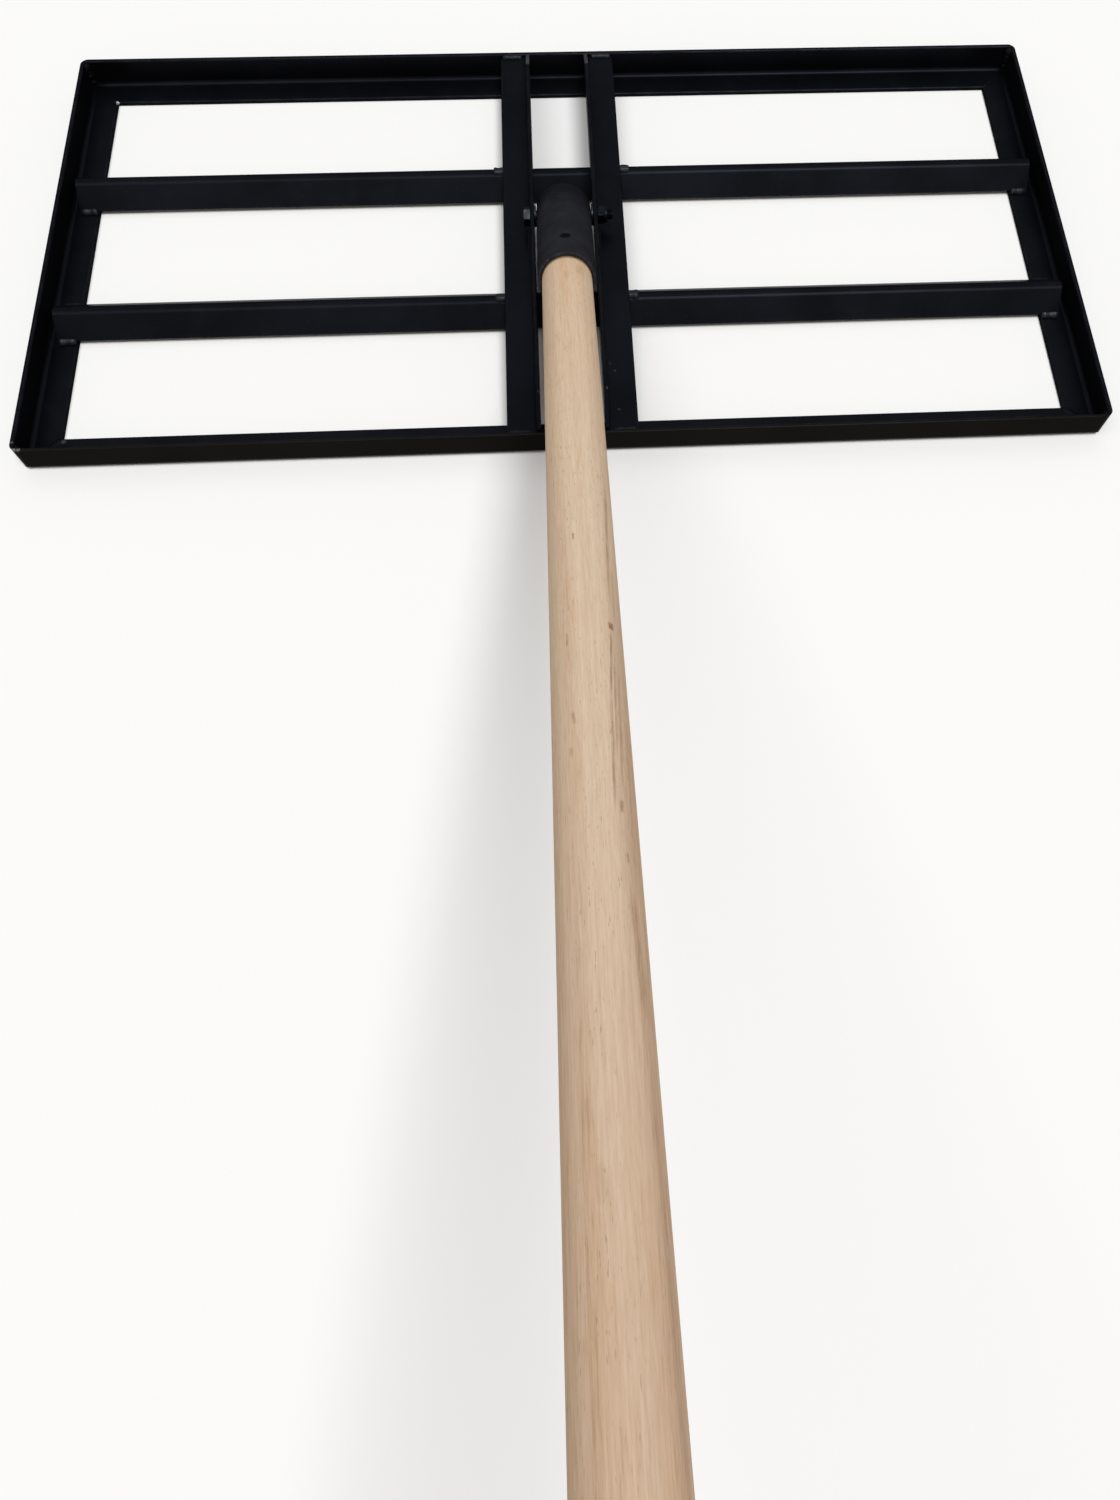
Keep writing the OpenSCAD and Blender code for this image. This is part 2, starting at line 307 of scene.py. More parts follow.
    def speck(self, scale: float, size: float, share: float) -> Wire:
        """Small round specks, one in a share of the cells.

        Args:
            scale: Cells per metre.
            size: Radius of a speck, in cells.
            share: The share of cells that has a speck.

        Returns:
            1 in a speck and 0 elsewhere.
        """
        cells, lot = (
            self.node(
                "ShaderNodeTexVoronoi",
                {"feature": "F1"},
                {"Vector": self.place(), "Scale": scale},
                output,
            )
            for output in ("Distance", "Color")
        )
        draw = self.node("ShaderNodeSeparateColor", sockets={"Color": lot}, output="Red")
        return cells.below(size * 0.6, size) * draw.below(share, share + 0.001)

    def bump(self, height: Wire, distance: float, strength: float = 1.0) -> Wire:
        """The normal of a surface whose height is counted in steps of distance, in metres."""
        return self.node(
            "ShaderNodeBump", {}, {"Height": height, "Distance": distance, "Strength": strength}
        )

    def surface(self, fixed: Mapping[str, Any], varied: Mapping[str, Wire]) -> None:
        """Ends the graph in one Principled shader.

        Args:
            fixed: What is the same all over, set on the shader's own sockets.
            varied: What changes over the surface.
        """
        shader = self.node("ShaderNodeBsdfPrincipled", {}, {**fixed, **varied})
        self.end("ShaderNodeOutputMaterial", shader)

    def end(self, kind: str, shader: Wire) -> None:
        """Adds the output node, which has no outputs of its own."""
        node = self.tree.nodes.new(kind)
        self.tree.links.new(shader.socket, node.inputs["Surface"])


# Finishes


def new_material(name: str) -> tuple[bpy.types.Material, Graph]:
    """A named material and its empty graph."""
    material = bpy.data.materials.new(name)
    return material, Graph(material)


@dataclass(frozen=True)
class Chip:
    """A spot where the coat is worn: its place, its radius and how bare it is."""

    at: Point
    reach: float
    bare: float


@dataclass(frozen=True)
class PowderCoat:
    """Satin blue-black powder coat on steel, new but handled.

    The coat is so dark that little but its reflections shows, so it is shaded mostly as
    metal. The near rail's outer face, at front, has a painted warm floor reflection, most near the
    ground.
    """

    name: str = "powder_coat_blue_black"
    deep: Colour = (0.0050, 0.0054, 0.0071)
    light: Colour = (0.0072, 0.0078, 0.0105)
    rubbed: Colour = (0.0125, 0.0130, 0.0160)
    # tint of the painted floor reflection on the near rail's outer face
    floor_reflection_tint: Colour = (0.0138, 0.0122, 0.0098)
    dust: Colour = (0.050, 0.047, 0.043)
    bare: Colour = (0.42, 0.42, 0.43)
    gloss: float = 0.29
    peel: float = 0.06 * MM
    front: float = -12.5 * MM
    chips: tuple[Chip, ...] = ()

    def make(self) -> bpy.types.Material:
        """Builds the material."""
        material, g = new_material(self.name)
        mottle = g.noise(14, 4, 0.6)
        peel = g.noise(620, 2, 0.45)
        grit = g.noise(2600, 2, 0.6)
        colour = g.blend(mottle.above(0.3, 0.7), self.deep, self.light)
        rub = g.rubbed_edges(70, 0.6, 0.42, 0.62)
        colour = g.blend(rub * 0.5, colour, self.rubbed)
        film = g.noise(38, 5, 0.65).above(0.50, 0.80)
        colour = g.blend(film * 0.03 + g.speck(260, 0.16, 0.05) * 0.15, colour, self.dust)
        # painted reflection: the near rail's outer face takes a warm floor's reflection, more towards
        # the ground
        face = g.part_of(g.place(), "Y").below(self.front + 0.5 * MM, self.front + 2.5 * MM)
        low = g.part_of(g.place(), "Z").below(2 * MM, 10 * MM)
        painted_reflection = face * (0.55 + low * 0.35 + (mottle - 0.5) * 0.3)
        colour = g.blend(painted_reflection, colour, self.floor_reflection_tint)
        rough = self.gloss + mottle * 0.08 + film * 0.06 - rub * 0.04
        height = peel * 0.55 + grit * 0.12
        if self.chips:
            chip = self._chips(g)
            colour = g.blend(chip, colour, self.bare)
            height = height - chip * 1.5
        g.surface(
            {"Metallic": 0.6, "Specular IOR Level": 0.0, "Specular Tint": HALF_TINT},
            {"Base Color": colour, "Roughness": rough, "Normal": g.bump(height, self.peel, 0.5)},
        )
        return material

    def _chips(self, g: Graph) -> Wire:
        """How bare the coat is worn."""
        ragged = g.noise(520, 3, 0.7)
        spots = [g.near(spot.at, spot.reach, ragged) * spot.bare for spot in self.chips]
        chip = spots[0]
        for spot in spots[1:]:
            chip = chip.math("MAXIMUM", spot)
        return chip


@dataclass(frozen=True)
class SocketPaint:
    """Matte dark grey paint on the socket's tube, with painted shade towards its tail."""

    pivot: Point
    lean: float = HANDLE_LEAN
    name: str = "socket_paint_grey"
    deep: Colour = (0.0190, 0.0197, 0.0245)
    light: Colour = (0.0268, 0.0276, 0.0335)
    # colour of the painted shade at the tube's tail
    painted_tail_shade: Colour = (0.0105, 0.0108, 0.0136)
    dust: Colour = (0.08, 0.075, 0.07)

    def make(self) -> bpy.types.Material:
        """Builds the material."""
        material, g = new_material(self.name)
        mottle = g.noise(55, 5, 0.65)
        grain = g.noise(1500, 3, 0.6)
        z = g.part_of(g.along(self.pivot, self.lean), "Z")
        colour = g.blend(mottle.above(0.3, 0.72), self.deep, self.light)
        # painted shade: the paint darkens towards the tube's tail
        colour = g.blend((z + (mottle - 0.5) * 0.03).below(-0.008, 0.030), colour, self.painted_tail_shade)
        rub = g.rubbed_edges(240, 0.7, 0.45, 0.6)
        colour = g.blend(rub * 0.3 + g.speck(420, 0.18, 0.04) * 0.25, colour, self.dust)
        g.surface(
            {"Metallic": 0.03, "Specular IOR Level": 0.0, "Specular Tint": HALF_TINT},
            {
                "Base Color": colour,
                "Roughness": 0.44 + mottle * 0.12,
                "Normal": g.bump(grain * 0.7 + mottle * 0.8, 0.08 * MM, 0.7),
            },
        )
        return material


@dataclass(frozen=True)
class Plated:
    """A plated or blackened steel surface with fine turning marks, oiled past oiled_from."""

    name: str
    colour: Colour
    tint: Colour
    rough: float
    oiled_from: float = 1.0
    oil: Colour = (0.0035, 0.0038, 0.0046)

    def make(self) -> bpy.types.Material:
        """Builds the material."""
        material, g = new_material(self.name)
        cloud = g.noise(160, 3, 0.6)
        marks = g.noise(1.0, 2, 0.5, g.vector("MULTIPLY", g.place(), (5200, 700, 700)))
        colour = g.blend(cloud.above(0.35, 0.7), self.colour, self.tint)
        oiled = g.part_of(g.place(), "X").above(self.oiled_from - 0.4 * MM, self.oiled_from)
        colour = g.blend(oiled * (0.80 + cloud * 0.2), colour, self.oil)
        g.surface(
            {"Metallic": 1.0, "Specular Tint": (0.6, 0.6, 0.6, 1.0)},
            {
                "Base Color": colour,
                "Roughness": self.rough + cloud * 0.12 + marks * 0.06,
                "Normal": g.bump(marks * 0.5 + cloud * 0.5, 0.04 * MM, 0.5),
            },
        )
        return material


@dataclass(frozen=True)
class Nylon:
    """Blue nylon of the lock nut's ring."""

    name: str = "nylon_blue"
    colour: Colour = (0.06, 0.13, 0.36)
    light: Colour = (0.09, 0.18, 0.44)

    def make(self) -> bpy.types.Material:
        """Builds the material."""
        material, g = new_material(self.name)
        cloud = g.noise(900, 3, 0.5)
        g.surface(
            {"Specular IOR Level": 0.4},
            {"Base Color": g.blend(cloud, self.colour, self.light), "Roughness": 0.38 + cloud * 0.12},
        )
        return material


@dataclass(frozen=True)
class Streak:
    """A dark line on the shaft's upper side: its ends, each as a place along and across."""

    start: tuple[float, float]
    end: tuple[float, float]
    width: float
    strength: float


STREAKS = (
    Streak((0.110, 0.0090), (0.127, 0.0092), 0.0048, 0.20),
    Streak((0.122, -0.0012), (0.137, -0.0004), 0.0030, 0.18),
    Streak((0.340, 0.0150), (0.470, 0.0119), 0.0011, 0.50),
    Streak((0.420, 0.0150), (0.475, 0.0140), 0.0012, 0.35),
    Streak((0.4680, 0.0120), (0.4746, 0.0121), 0.0019, 1.00),
    Streak((0.468, 0.0121), (0.524, 0.0098), 0.0009, 0.68),
    Streak((0.508, 0.0102), (0.590, 0.0078), 0.0010, 0.55),
    Streak((0.474, 0.0133), (0.562, 0.0103), 0.0008, 0.50),
    Streak((0.480, 0.0148), (0.588, 0.0113), 0.0010, 0.45),
    Streak((0.500, 0.0162), (0.640, 0.0140), 0.0010, 0.35),
    Streak((0.574, 0.0110), (0.583, 0.0111), 0.0012, 0.80),
    Streak((0.600, 0.0119), (0.607, 0.0121), 0.0010, 0.60),
    Streak((0.606, 0.0119), (0.680, 0.0152), 0.0024, 0.42),
    Streak((0.640, 0.0146), (0.860, 0.0158), 0.0014, 0.30),
    Streak((0.405, -0.0042), (0.412, -0.0042), 0.0009, 0.60),
    Streak((0.476, -0.0092), (0.487, -0.0092), 0.0008, 0.50),
    Streak((0.526, -0.0080), (0.536, -0.0068), 0.0012, 0.45),
    Streak((0.546, -0.0092), (0.553, -0.0092), 0.0011, 0.35),
    Streak((0.698, -0.0080), (0.712, -0.0072), 0.0018, 0.20),
    Streak((0.720, -0.0052), (0.736, -0.0046), 0.0022, 0.22),
    Streak((0.400, 0.0150), (0.660, 0.0128), 0.0058, 0.20),
)


@dataclass(frozen=True)
class PaleWood:
    """Bare sanded light hardwood, its grain along the shaft."""

    pivot: Point
    lean: float = HANDLE_LEAN
    mouth: float = TUBE_MOUTH
    length: float = SHAFT_END
    streaks: tuple[Streak, ...] = STREAKS
    tones: tuple[tuple[float, Colour], ...] = (
        (0.0, (0.55, 0.370, 0.232)),
        (0.35, (0.720, 0.530, 0.370)),
        (0.70, (0.800, 0.622, 0.458)),
        (1.0, (0.860, 0.700, 0.535)),
    )
    pink: Colour = (0.91, 0.85, 0.84)
    # tint that makes the wood darker and warmer towards the socket
    socket_end_tint: Colour = (0.96, 0.935, 0.895)
    warm: Colour = (0.97, 0.87, 0.80)
    pore: Colour = (0.34, 0.21, 0.12)
    heart: Colour = (0.33, 0.185, 0.100)
    # colour of the painted shadow on the wood at the tube's mouth
    painted_mouth_shadow: Colour = (0.085, 0.045, 0.022)
    end_grain: Colour = (0.42, 0.28, 0.17)
    name: str = "pale_wood"

    def make(self) -> bpy.types.Material:
        """Builds the material."""
        material, g = new_material(self.name)
        along = g.along(self.pivot, self.lean)
        x, z = g.part_of(along, "X"), g.part_of(along, "Z")
        warp = self._grain(g, along, 30, 2.2)
        fibre = self._grain(g, along, 1150, 60, 4, 0.7)
        streak = self._grain(g, along, 230, 2.0, 3, 0.6)
        broad = self._grain(g, along, 75, 1.3)
        value = (
            0.46
            + self._rings(g, along, warp) * 0.08
            + (streak - 0.5) * 0.75
            + (fibre - 0.5) * 1.35
            + (broad - 0.5) * 0.7
        )
        colour = g.ramp(value, self.tones)
        blush = z.above(0.45, 0.85) * (0.35 + broad * 0.5)
        colour = g.blend(blush, colour, self.pink, "MULTIPLY")
        # darker and warmer towards the socket
        near_socket = z.below(0.10, 0.42) * (0.7 + broad * 0.3)
        colour = g.blend(near_socket, colour, self.socket_end_tint, "MULTIPLY")
        flush = self._grain(g, along, 48, 4.5, 3, 0.6).above(0.50, 0.72)
        colour = g.blend(flush * 0.6, colour, self.warm, "MULTIPLY")
        pores = self._grain(g, along, 1500, 190).above(0.62, 0.74)
        pores = pores * self._grain(g, along, 60, 9).above(0.34, 0.60)
        colour = g.blend(pores * 0.55, colour, self.pore)
        colour = g.blend(self._heart(g, along, x, z), colour, self.heart)
        # painted shadow: a dark ring on the wood just outside the tube's mouth
        mouth_shade_mask = z.below(self.mouth + 0.8 * MM, self.mouth + 2.6 * MM) * (0.6 + streak * 0.4)
        colour = g.blend(mouth_shade_mask * 0.9, colour, self.painted_mouth_shadow)
        end = z.above(self.length - 1.2 * MM, self.length - 0.4 * MM)
        colour = g.blend(end * 0.35, colour, self.end_grain)
        g.surface(
            {"Specular IOR Level": 0.22},
            {
                "Base Color": colour,
                "Roughness": 0.58 + fibre * 0.14 - streak * 0.05,
                "Normal": g.bump(fibre * 0.8 - pores * 1.2 + streak * 0.4, 0.12 * MM, 0.6),
            },
        )
        return material

    @staticmethod
    def _grain(
        g: Graph,
        along: Wire,
        across: float,
        lengthwise: float,
        detail: float = 2.0,
        rough: float = 0.5,
    ) -> Wire:
        """Noise with its own number of cells per metre across and along the shaft."""
        cells = g.vector("MULTIPLY", along, (across, across, lengthwise))
        return g.noise(1.0, detail, rough, cells)

    def _rings(self, g: Graph, along: Wire, warp: Wire) -> Wire:
        """Year rings round a pith that runs beside the shaft, a little askew."""
        askew = g.mapped(along, (0.052, 0.031, 0), (0.012, 0.020, 0), (1, 1, 0))
        out = g.node("ShaderNodeVectorMath", {"operation": "LENGTH"}, {0: askew}, "Value")
        return (out * 430 + warp * 3.2).math("FRACT") ** 2.2

    def _heart(self, g: Graph, along: Wire, x: Wire, z: Wire) -> Wire:
        """The brown streaks, the pin knot and the stains on the upper side."""
        wander = self._grain(g, along, 0, 22) - 0.5
        heart = self._streak(x, z, wander, self.streaks[0])
        for mark in self.streaks[1:]:
            heart = heart.math("MAXIMUM", self._streak(x, z, wander, mark))
        ragged = self._grain(g, along, 1300, 90, 3, 0.7).above(0.36, 0.60)
        upper = g.part_of(along, "Y").above(0.0, 4 * MM)
        return heart * (0.55 + ragged * 0.65) * upper

    @staticmethod
    def _streak(x: Wire, z: Wire, wander: Wire, mark: Streak) -> Wire:
        """How strongly one streak shows at a point."""
        (from_z, from_x), (to_z, to_x) = mark.start, mark.end
        slope = (to_x - from_x) / (to_z - from_z)
        off = (x - z * slope - wander * (1.1 * MM) - (from_x - slope * from_z)).math("ABSOLUTE")
        fade = 0.3 * (to_z - from_z)
        span = z.above(from_z, from_z + fade) * z.below(to_z - fade, to_z)
        return off.below(mark.width * 0.25, mark.width) * span * mark.strength


CHIPS_AND_BEAD_HIGHLIGHT = (
    Chip((-0.3750, 0.3523, 0.0030), 0.0015, 0.80),
    Chip((0.0258, 0.0122, 0.0442), 0.0010, 0.20),
    Chip((0.0345, 0.0090, 0.0225), 0.0008, 0.07),
    Chip((0.0297, 0.0503, 0.0225), 0.0007, 0.05),
    Chip((0.0331, 0.0437, 0.0225), 0.0009, 0.05),
    Chip((-0.0236, 0.0107, 0.0443), 0.0010, 0.05),
    Chip((-0.3965, -0.0115, 0.0250), 0.0017, 0.40),
    Chip((-0.3930, -0.0114, 0.0250), 0.0014, 0.26),
    Chip((-0.3985, -0.0050, 0.0250), 0.0010, 0.16),
    # painted highlight on the near-left corner's flat weld bead, drawn as a faint chip
    Chip((-0.3740, 0.0095, 0.0032), 0.0018, 0.08),
)
# A lighter copy of the coat for the crossbar and pivot-rail welds: painted highlight for their
# glints.
WELD_GLINT_COAT = PowderCoat(
    "powder_coat_with_painted_weld_glints",
    deep=(0.014, 0.015, 0.017),
    light=(0.027, 0.029, 0.033),
    rubbed=(0.031, 0.033, 0.037),
    gloss=0.30,
)


# Mesh tools


def scalar_layer(bm: bmesh.types.BMesh) -> Any:
    """The face layer that marks rounded edges for the coat's rubbing."""
    found = bm.faces.layers.float.get(EDGE_LAYER)
    return found or bm.faces.layers.float.new(EDGE_LAYER)


def new_shape() -> bmesh.types.BMesh:
    """An empty shape with the edge layer."""
    bm = bmesh.new()
    scalar_layer(bm)
    return bm


def outward(bm: bmesh.types.BMesh) -> None:
    """Merges doubles and turns all faces outwards."""
    bmesh.ops.remove_doubles(bm, verts=bm.verts[:], dist=2e-6)
    bmesh.ops.dissolve_degenerate(bm, edges=bm.edges[:], dist=1e-6)
    bmesh.ops.recalc_face_normals(bm, faces=bm.faces[:])


def ease(
    bm: bmesh.types.BMesh,
    edges: Sequence[bmesh.types.BMEdge],
    width: float,
    segments: int,
    rubbed: bool = True,
) -> None:
    """Rounds edges.

    Args:
        bm: The shape.
        edges: The edges to round.
        width: Distance from the old edge to the new ones.
        segments: Faces across the rounding.
        rubbed: True where the coat wears off the new faces.
    """
    made = bmesh.ops.bevel(
        bm,
        geom=list(edges),
        offset=width,
        offset_type="OFFSET",
        segments=segments,
        profile=0.5,
        affect="EDGES",
        material=-1,
        clamp_overlap=True,
    )
    layer = scalar_layer(bm)
    for face in made["faces"]:
        face[layer] = float(rubbed)


def slice_off(bm: bmesh.types.BMesh, point: Point, normal: Point) -> None:
    """Cuts off what lies beyond a plane and closes the cut.

    Args:
        bm: The shape.
        point: A point of the plane.
        normal: The plane's normal, towards what goes.
    """
    cut = bmesh.ops.bisect_plane(
        bm,
        geom=bm.verts[:] + bm.edges[:] + bm.faces[:],
        dist=1e-7,
        plane_co=point,
        plane_no=normal,
        clear_outer=True,
    )
    edges = [e for e in cut["geom_cut"] if isinstance(e, bmesh.types.BMEdge) and e.is_boundary]
    if edges:
        bmesh.ops.holes_fill(bm, edges=edges, sides=0)


def turned(
    corners: Sequence[tuple[float, float, float]], steps: int, arc: int = 3
) -> bmesh.types.BMesh:
    """Turns an outline round the Z axis.

    Args:
        corners: Distance from the axis, place along it and rounding of each corner.
        steps: Faces round the axis.
        arc: Faces across each rounding.

    Returns:
        The closed shape.
    """
    bm = new_shape()
    verts = [bm.verts.new((out, 0, along)) for out, along, _ in corners]
    bm.faces.new(verts)
    for radius in sorted({c[2] for c in corners if c[2] > 0}):
        bmesh.ops.bevel(
            bm,
            geom=[v for v, c in zip(verts, corners) if c[2] == radius],
            offset=radius,
            offset_type="OFFSET",
            segments=arc,
            profile=0.5,
            affect="VERTICES",
            material=-1,
        )
    bmesh.ops.delete(bm, geom=bm.faces[:], context="FACES_ONLY")
    on_axis = [e for e in bm.edges if all(abs(v.co.x) < TINY for v in e.verts)]
    bmesh.ops.delete(bm, geom=on_axis, context="EDGES")
    bmesh.ops.spin(
        bm,
        geom=bm.verts[:] + bm.edges[:],
        cent=(0, 0, 0),
        axis=(0, 0, 1),
        angle=FULL_TURN,
        steps=steps,
        use_merge=True,
    )
    outward(bm)
    return bm


def rod(radius: float, low: float, high: float, steps: int) -> bmesh.types.BMesh:
    """A plain round bar on the Z axis, from low to high."""
    return turned([(0, low, 0), (radius, low, 0), (radius, high, 0), (0, high, 0)], steps)


def tower(levels: Sequence[Level], steps: int) -> bmesh.types.BMesh:
    """Stacks rings of vertices and closes the first and the last one.

    Args:
        levels: For each ring, a function from the angle to the vertex's place.
        steps: Vertices in a ring.

    Returns:
        The closed shape.
    """
    bm = new_shape()
    ring = bmesh.ops.create_circle(bm, segments=steps, radius=1.0)["verts"]
    turns = [math.atan2(v.co.y, v.co.x) for v in ring]
    first = edges = bm.edges[:]
    for number, level in enumerate(levels):
        if number:
            made = bmesh.ops.extrude_edge_only(bm, edges=edges)["geom"]
            edges = [e for e in made if isinstance(e, bmesh.types.BMEdge)]
            raised = [v for v in made if isinstance(v, bmesh.types.BMVert)]
            lookup = {tuple(round(c, 9) for c in v.co): v for v in raised}
            ring = [lookup[tuple(round(c, 9) for c in v.co)] for v in ring]
        for vert, turn in zip(ring, turns):
            vert.co = level(turn)
    bmesh.ops.contextual_create(bm, geom=first)
    bmesh.ops.contextual_create(bm, geom=edges)
    bmesh.ops.recalc_face_normals(bm, faces=bm.faces[:])
    return bm


def to_mesh(name: str, bm: bmesh.types.BMesh) -> bpy.types.Mesh:
    """A mesh made from a shape, which is freed."""
    mesh = bpy.data.meshes.new(name)
    bm.to_mesh(mesh)
    bm.free()
    return mesh


def in_scene(name: str, data: bpy.types.ID) -> bpy.types.Object:
    """A new object, linked into the scene."""
    thing = bpy.data.objects.new(name, data)
    bpy.context.scene.collection.objects.link(thing)
    return thing


def joined(parts: Sequence[bmesh.types.BMesh]) -> bmesh.types.BMesh:
    """Puts several shapes into one and frees them."""
    whole = new_shape()
    for part in parts:
        mesh = to_mesh("part", part)
        whole.from_mesh(mesh)
        bpy.data.meshes.remove(mesh)
    return whole


def moved(bm: bmesh.types.BMesh, matrix: Matrix) -> bmesh.types.BMesh:
    """Applies a matrix to a shape; a mirroring one also turns its faces back."""
    bmesh.ops.transform(bm, matrix=matrix, verts=bm.verts[:])
    if matrix.determinant() < 0:
        bmesh.ops.reverse_faces(bm, faces=bm.faces[:])
    return bm


def carved(bm: bmesh.types.BMesh, cutters: Sequence[bmesh.types.BMesh]) -> bmesh.types.BMesh:
    """Cuts closed shapes out of a shape.

    Args:
        bm: The shape, which is freed.
        cutters: What is taken away, also freed.

    Returns:
        The cut shape.
    """
    made = [in_scene("carving", to_mesh("carving", part)) for part in (bm, *cutters)]
    for cutter in made[1:]:
        modifier = made[0].modifiers.new("cut", "BOOLEAN")
        modifier.operation = "DIFFERENCE"
        modifier.solver = "EXACT"
        modifier.object = cutter
    graph = bpy.context.evaluated_depsgraph_get()
    mesh = bpy.data.meshes.new_from_object(made[0].evaluated_get(graph))
    result = bmesh.new()
    result.from_mesh(mesh)
    scalar_layer(result)
    bpy.data.meshes.remove(mesh)
    for thing in made:
        mesh = thing.data
        bpy.data.objects.remove(thing)
        bpy.data.meshes.remove(mesh)
    bmesh.ops.remove_doubles(result, verts=result.verts[:], dist=1e-6)
    return result


def to_piece(
    name: str,
    bm: bmesh.types.BMesh,
    material: bpy.types.Material,
    body: Body,
    nodes: Sequence[str],
    slot: Slot,
    crease: float = 32.0,
) -> bpy.types.Object:
    """Makes a shape a piece of the tool.

    Args:
        name: The piece's name.
        bm: Its shape, which is freed.
        material: Its material.
        body: What it rides on.
        nodes: The CAD nodes that it stands for.
        slot: Its material slot in the record; not used.
        crease: Edges sharper than this many degrees stay sharp.

    Returns:
        The piece.
    """
    bm.normal_update()
    for face in bm.faces:
        face.smooth = True
    for edge in bm.edges:
        if len(edge.link_faces) == 2:
            edge.smooth = edge.calc_face_angle(0.0) < math.radians(crease)
    mesh = to_mesh(name, bm)
    mesh.materials.append(material)
    piece = in_scene(name, mesh)
    weighted = piece.modifiers.new("flat faces stay flat", "WEIGHTED_NORMAL")
    weighted.keep_sharp = True
    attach(piece, body.value)
    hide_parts(*nodes)
    LOG.info("%s: %d faces on %s", name, len(mesh.polygons), body.value)
    return piece


# The frame


@dataclass(frozen=True)
class AngleSteel:
    """Steel angle: a flange along +Y and a leg along +Z from the heel."""

    leg: float = 25 * MM
    thick: float = 3 * MM
    root: float = 3.5 * MM
    toe: float = 1.5 * MM
    heel: float = 6.5 * MM
    burr: float = 0.3 * MM

    def bar(self, length: float) -> bmesh.types.BMesh:
        """A bar along X, its middle at the origin, its heel on the X axis.

        Args:
            length: The bar's length.

        Returns:
            The bar with its long edges rounded.
        """
        bm = new_shape()
        leg, thick = self.leg, self.thick
        outline = [(0, 0), (leg, 0), (leg, thick), (thick, thick), (thick, leg), (0, leg)]
        face = bm.faces.new([bm.verts.new((-length / 2, y, z)) for y, z in outline])
        pulled = bmesh.ops.extrude_face_region(bm, geom=[face])["geom"]
        far = [v for v in pulled if isinstance(v, bmesh.types.BMVert)]
        bmesh.ops.translate(bm, verts=far, vec=(length, 0, 0))
        bmesh.ops.recalc_face_normals(bm, faces=bm.faces[:])
        for corners, radius, segments, rubbed in (
            ([(thick, thick)], self.root, 7, False),
            ([(leg, thick), (thick, leg)], self.toe, 4, True),
            ([(0, 0)], self.heel, 12, False),
            ([(leg, 0), (0, leg)], self.burr, 2, True),
        ):
            ease(bm, self._long_edges(bm, corners), radius, segments, rubbed)
        return bm

    @staticmethod
    def _long_edges(
        bm: bmesh.types.BMesh, corners: Sequence[tuple[float, float]]
    ) -> list[bmesh.types.BMEdge]:
        """The edges along X that pass through the given corners of the section."""
        return [
            e
            for e in bm.edges
            if any(
                all(math.hypot(v.co.y - y, v.co.z - z) < TINY for v in e.verts)
                for y, z in corners
            )
        ]

    def ease_end(self, bm: bmesh.types.BMesh, way: Vector, welded: bool = False) -> None:
        """Takes the sharpness off the edges round the faces that look one way.

        Args:
            bm: The bar.
            way: Where the faces look.
            welded: True where a weld covers the edges, which then keep more of it.
        """
        bm.normal_update()
        faces = [f for f in bm.faces if f.normal.dot(way.normalized()) > 0.9999]
        edges = {e for f in faces for e in f.edges}
        sharp = [e for e in edges if e.calc_face_angle(0.0) > SHARP_EDGE]
        ease(bm, sharp, self.burr * (0.3 if welded else 1), 2, not welded)


